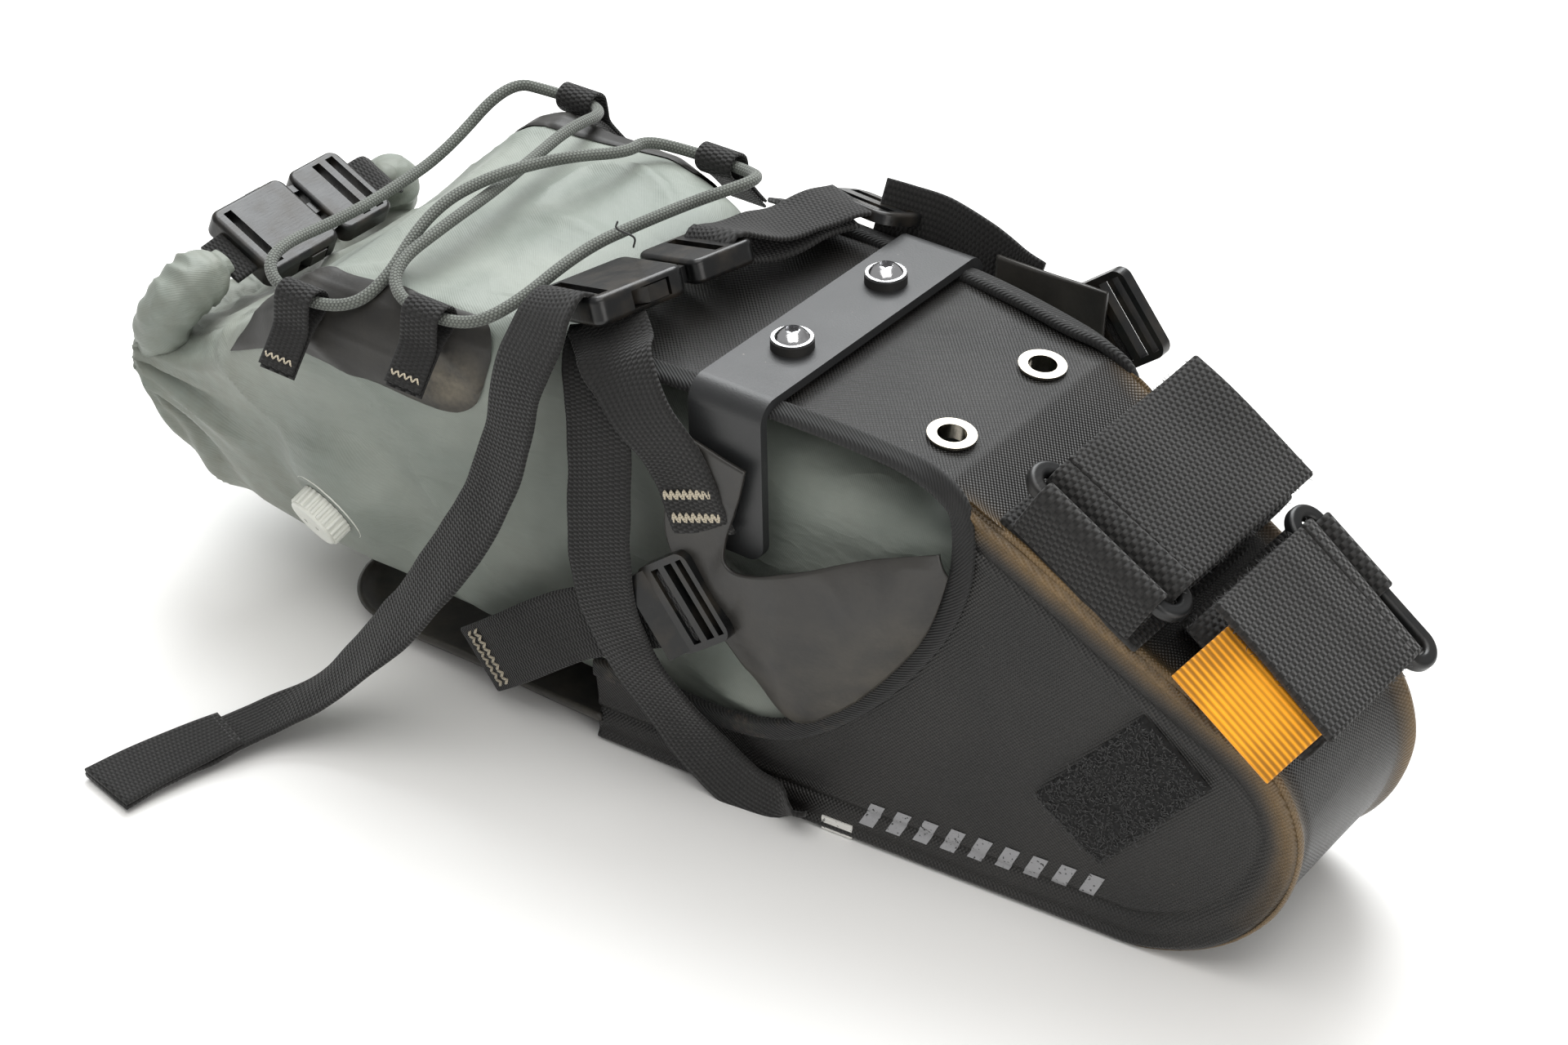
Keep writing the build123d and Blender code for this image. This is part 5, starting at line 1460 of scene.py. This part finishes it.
def seatpost_strap(name, plane, bar_middle, reach, patch, body, seed):
    """Patch, loop round the outer bar, band round the inner bar, and the flap that peels."""
    outer, inner = bar_middle - RING_HALF, bar_middle + RING_HALF
    shift, wide = patch
    flat = [(outer - 4.2, 1.4), (outer + 10, 1.4), (0, 1.4), (12, 1.4), (23, 1.4)]
    made, track = band(f"{name}_strap_patch", plane.stations(flat, shift), wide, 2.2, "holster",
        strap_weave, 40)
    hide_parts(f"{name}_strap_anchor")
    arch = [(outer - 4.0, 2.6), (outer - 3.9, 9), (outer - 3.6, 15.5), (outer - 2.4, 18.6),
        (outer, 19.8), (outer + 2.4, 18.6)]
    arch += [(outer + 3.6, 15.5), (outer + 3.9, 9), (outer + 4.0, 2.6)]
    band(f"{name}_strap_loop", plane.stations(arch, shift), wide - 8, 1.7, "holster", strap_weave,
        60)
    path = strap_path(inner, reach)
    made, track = band(f"{name}_strap_run", plane.stations(path), 50, 2.1, "holster", strap_weave,
        150, wavy(seed, 0.5))
    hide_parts(f"{name}_strap_band")
    top = [(inner + 2.4, 20.5), (inner + 14, 20.8), (0, 20.6), (reach - 14, 20.7), (reach, 21.2)]
    made, flap = band(f"{name}_flap_run", plane.stations(top), 50, 2.3, body, strap_weave,
        90, wavy(seed + 3, 1.0))
    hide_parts(f"{name}_strap_flap")
    fuzz(f"{name}_flap_fuzz", flap, 50, body, 260, seed)
    fuzz(f"{name}_run_fuzz", track, 50, "holster", 160, seed + 1)
    lift = 1.25 * plane.side
    line = np.vstack([flap.at(np.linspace(4, flap.length - 3, 40), c, lift) for c in (-22.6,)])
    starts, ends = running(line, 3.0)
    stitches(f"{name}_flap_stitch", starts, ends, np.tile(plane.out, (len(starts), 1)), 0.26, body,
        black_thread)
    return flap


upper_plane = StrapPlane(109, 0.0, 0.0, 1)
lower_plane = StrapPlane(158, radians(6), 1.4, -1)
seatpost_strap("upper", upper_plane, -31.06, 44, (0.0, 54), "upper_flap", 41)
seatpost_strap("lower", lower_plane, -26.63, 30, (-8.7, 36.5), "lower_flap", 51)
tab_path = [(24, 18.6), (30, 15.8), (36, 12.0), (41, 9.0), (45.5, 6.4)]
made, tab = band("orange_pull_tab", lower_plane.stations(tab_path, 2.0), 40, 1.7, "lower_flap",
    orange_weave, 40, wavy(61, 0.4))
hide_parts("lower_strap_pull_tab")
print("straps made, flap tab", round(tab.length), "mm")

# %% [markdown]
# The rubbery tongue behind the bottom panel cups the bag. It is a flat sheet with low
# lips: the height rises near both long edges and the rear corners are rounded.


# %% Rear flap
def rear_flap():
    """Rows from the bottom panel to the tip, columns across; half width closes in along a circle at
    the tip."""
    x = np.concatenate([np.linspace(-57, -150, 60), np.linspace(-152, -180, 30)])
    end = np.clip((28 - (x + 180)) / 28, 0, 0.999)
    half = 55 - 28 * (1 - np.sqrt(1 - end**2))
    share = np.linspace(-1, 1, 71)[None]
    y = -share * half[:, None]
    rise = np.clip((np.abs(share) * half[:, None] - (half[:, None] - 9)) / 9, 0, 1)
    away = np.clip((x[:, None] + 180) / 50, 0, 1)
    z = 2.2 + 8.5 * rise**2 * (0.55 + 0.45 * away) + 2.0 * (1 - away) ** 2
    place = np.stack([x[:, None] + 0 * y, y, z], -1)
    z = np.maximum(z + 0.6 * noise(place, 26, 71), 2.1)
    uv = np.stack([-x[:, None] + 0 * y, y], -1)
    points = np.stack([x[:, None] + 0 * y, y, z], -1)
    made = surface("rear_flap_sheet", points, uv, "holster", panel_rubber,
        fields={"dirt": 0 * z + 0.2})
    modify(made, "SOLIDIFY", thickness=0.0018, offset=-1)
    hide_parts("rear_flap")


rear_flap()
print("rear flap made")


# %% [markdown]
# Small parts on the right side: a fuzzy rectangle of loop tape and a row of slanted
# reflective bars. Both follow the cloth, so they are read off the same relief.


# %% Points on the side cloth
EDGE_LINE = spread(np.vstack([OUTLINE, [(120, 0.3), (60, 0.3), (0, 0.3), (-58, 0.3)]]), 700)


def on_side(x, z, lift):
    """Point of the right side cloth at (x, z), lift outwards."""
    edge = distance_to(EDGE_LINE, np.stack([x, z], -1))
    y = -(half_width(x) + np.clip(side_relief(x, z, edge), -1.5, 3.2) - 0.2 + lift)
    return np.stack([x, y, z], -1)


def loop_tape():
    """A turned rectangle on the side cloth whose rim falls to the cloth, covered with short curled fibres."""
    a, b = np.meshgrid(np.linspace(-27, 27, 70), np.linspace(-14.3, 14.3, 40), indexing="ij")
    turn = radians(51.5)
    x = 131 + a * cos(turn) - b * sin(turn)
    z = 57 + a * sin(turn) + b * cos(turn)
    rim = np.clip(np.minimum(27 - np.abs(a), 14.3 - np.abs(b)) / 1.2, 0, 1)
    flat = np.stack([a, b, 0 * a], -1)
    points = on_side(x, z, 0.1 + 1.5 * rim**0.5 + rim * 0.45 * noise(flat, 2.2, 81))
    made = surface("loop_tape_patch", points, np.stack([a, b], -1), "holster", pile_black)
    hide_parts("loop_patch")
    rng = np.random.default_rng(5)
    a, b = rng.uniform(-26.5, 26.5, 2600), rng.uniform(-13.8, 13.8, 2600)
    x, z = 131 + a * cos(turn) - b * sin(turn), 57 + a * sin(turn) + b * cos(turn)
    starts = on_side(x, z, 1.3)
    ends = starts + rng.normal(0, 0.9, (2600, 3)) * (1, 0.4, 1) + (0, -0.7, 0)
    stitches("loop_tape_pile", starts, ends, np.tile([0, -1.0, 0.01], (2600, 1)), 0.13, "holster",
        black_thread)


def reflective_bars():
    """Nine slanted bars, each a grid of 6 by 8 points just above the cloth."""
    for i in range(9):
        a, b = np.meshgrid(np.linspace(0, 5, 6), np.linspace(0, 9, 8), indexing="ij")
        x = 42 + i * 9.5 + a + b * 0.45
        z = 8 + i * 0.6 + b
        made = surface(f"reflective_bar_{i + 1}", on_side(x, z, 0.18), np.stack([a, b], -1), "holster",
            silver_print)
    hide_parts("reflective_marks")


loop_tape()
reflective_bars()
print("small parts made")


# %% Floor
floor_mesh = bpy.data.meshes.new("floor")
floor_mesh.from_pydata([(-6, -6, 0), (6, -6, 0), (6, 6, 0), (-6, 6, 0)], [], [(0, 1, 2, 3)])
floor = bpy.data.objects.new("floor", floor_mesh)
bpy.context.scene.collection.objects.link(floor)
pale = Paint("pale_floor", Roughness=0.6)
fx, fy, fz = pale.coords("Object")
pale.feed(Base_Color=pale.mix(pale.noise(400, pale.point(fx, fy, fz)), (0.9, 0.89, 0.87, 1),
    (0.93, 0.93, 0.92, 1)))
floor_mesh.materials.append(pale.material)
print("floor laid")
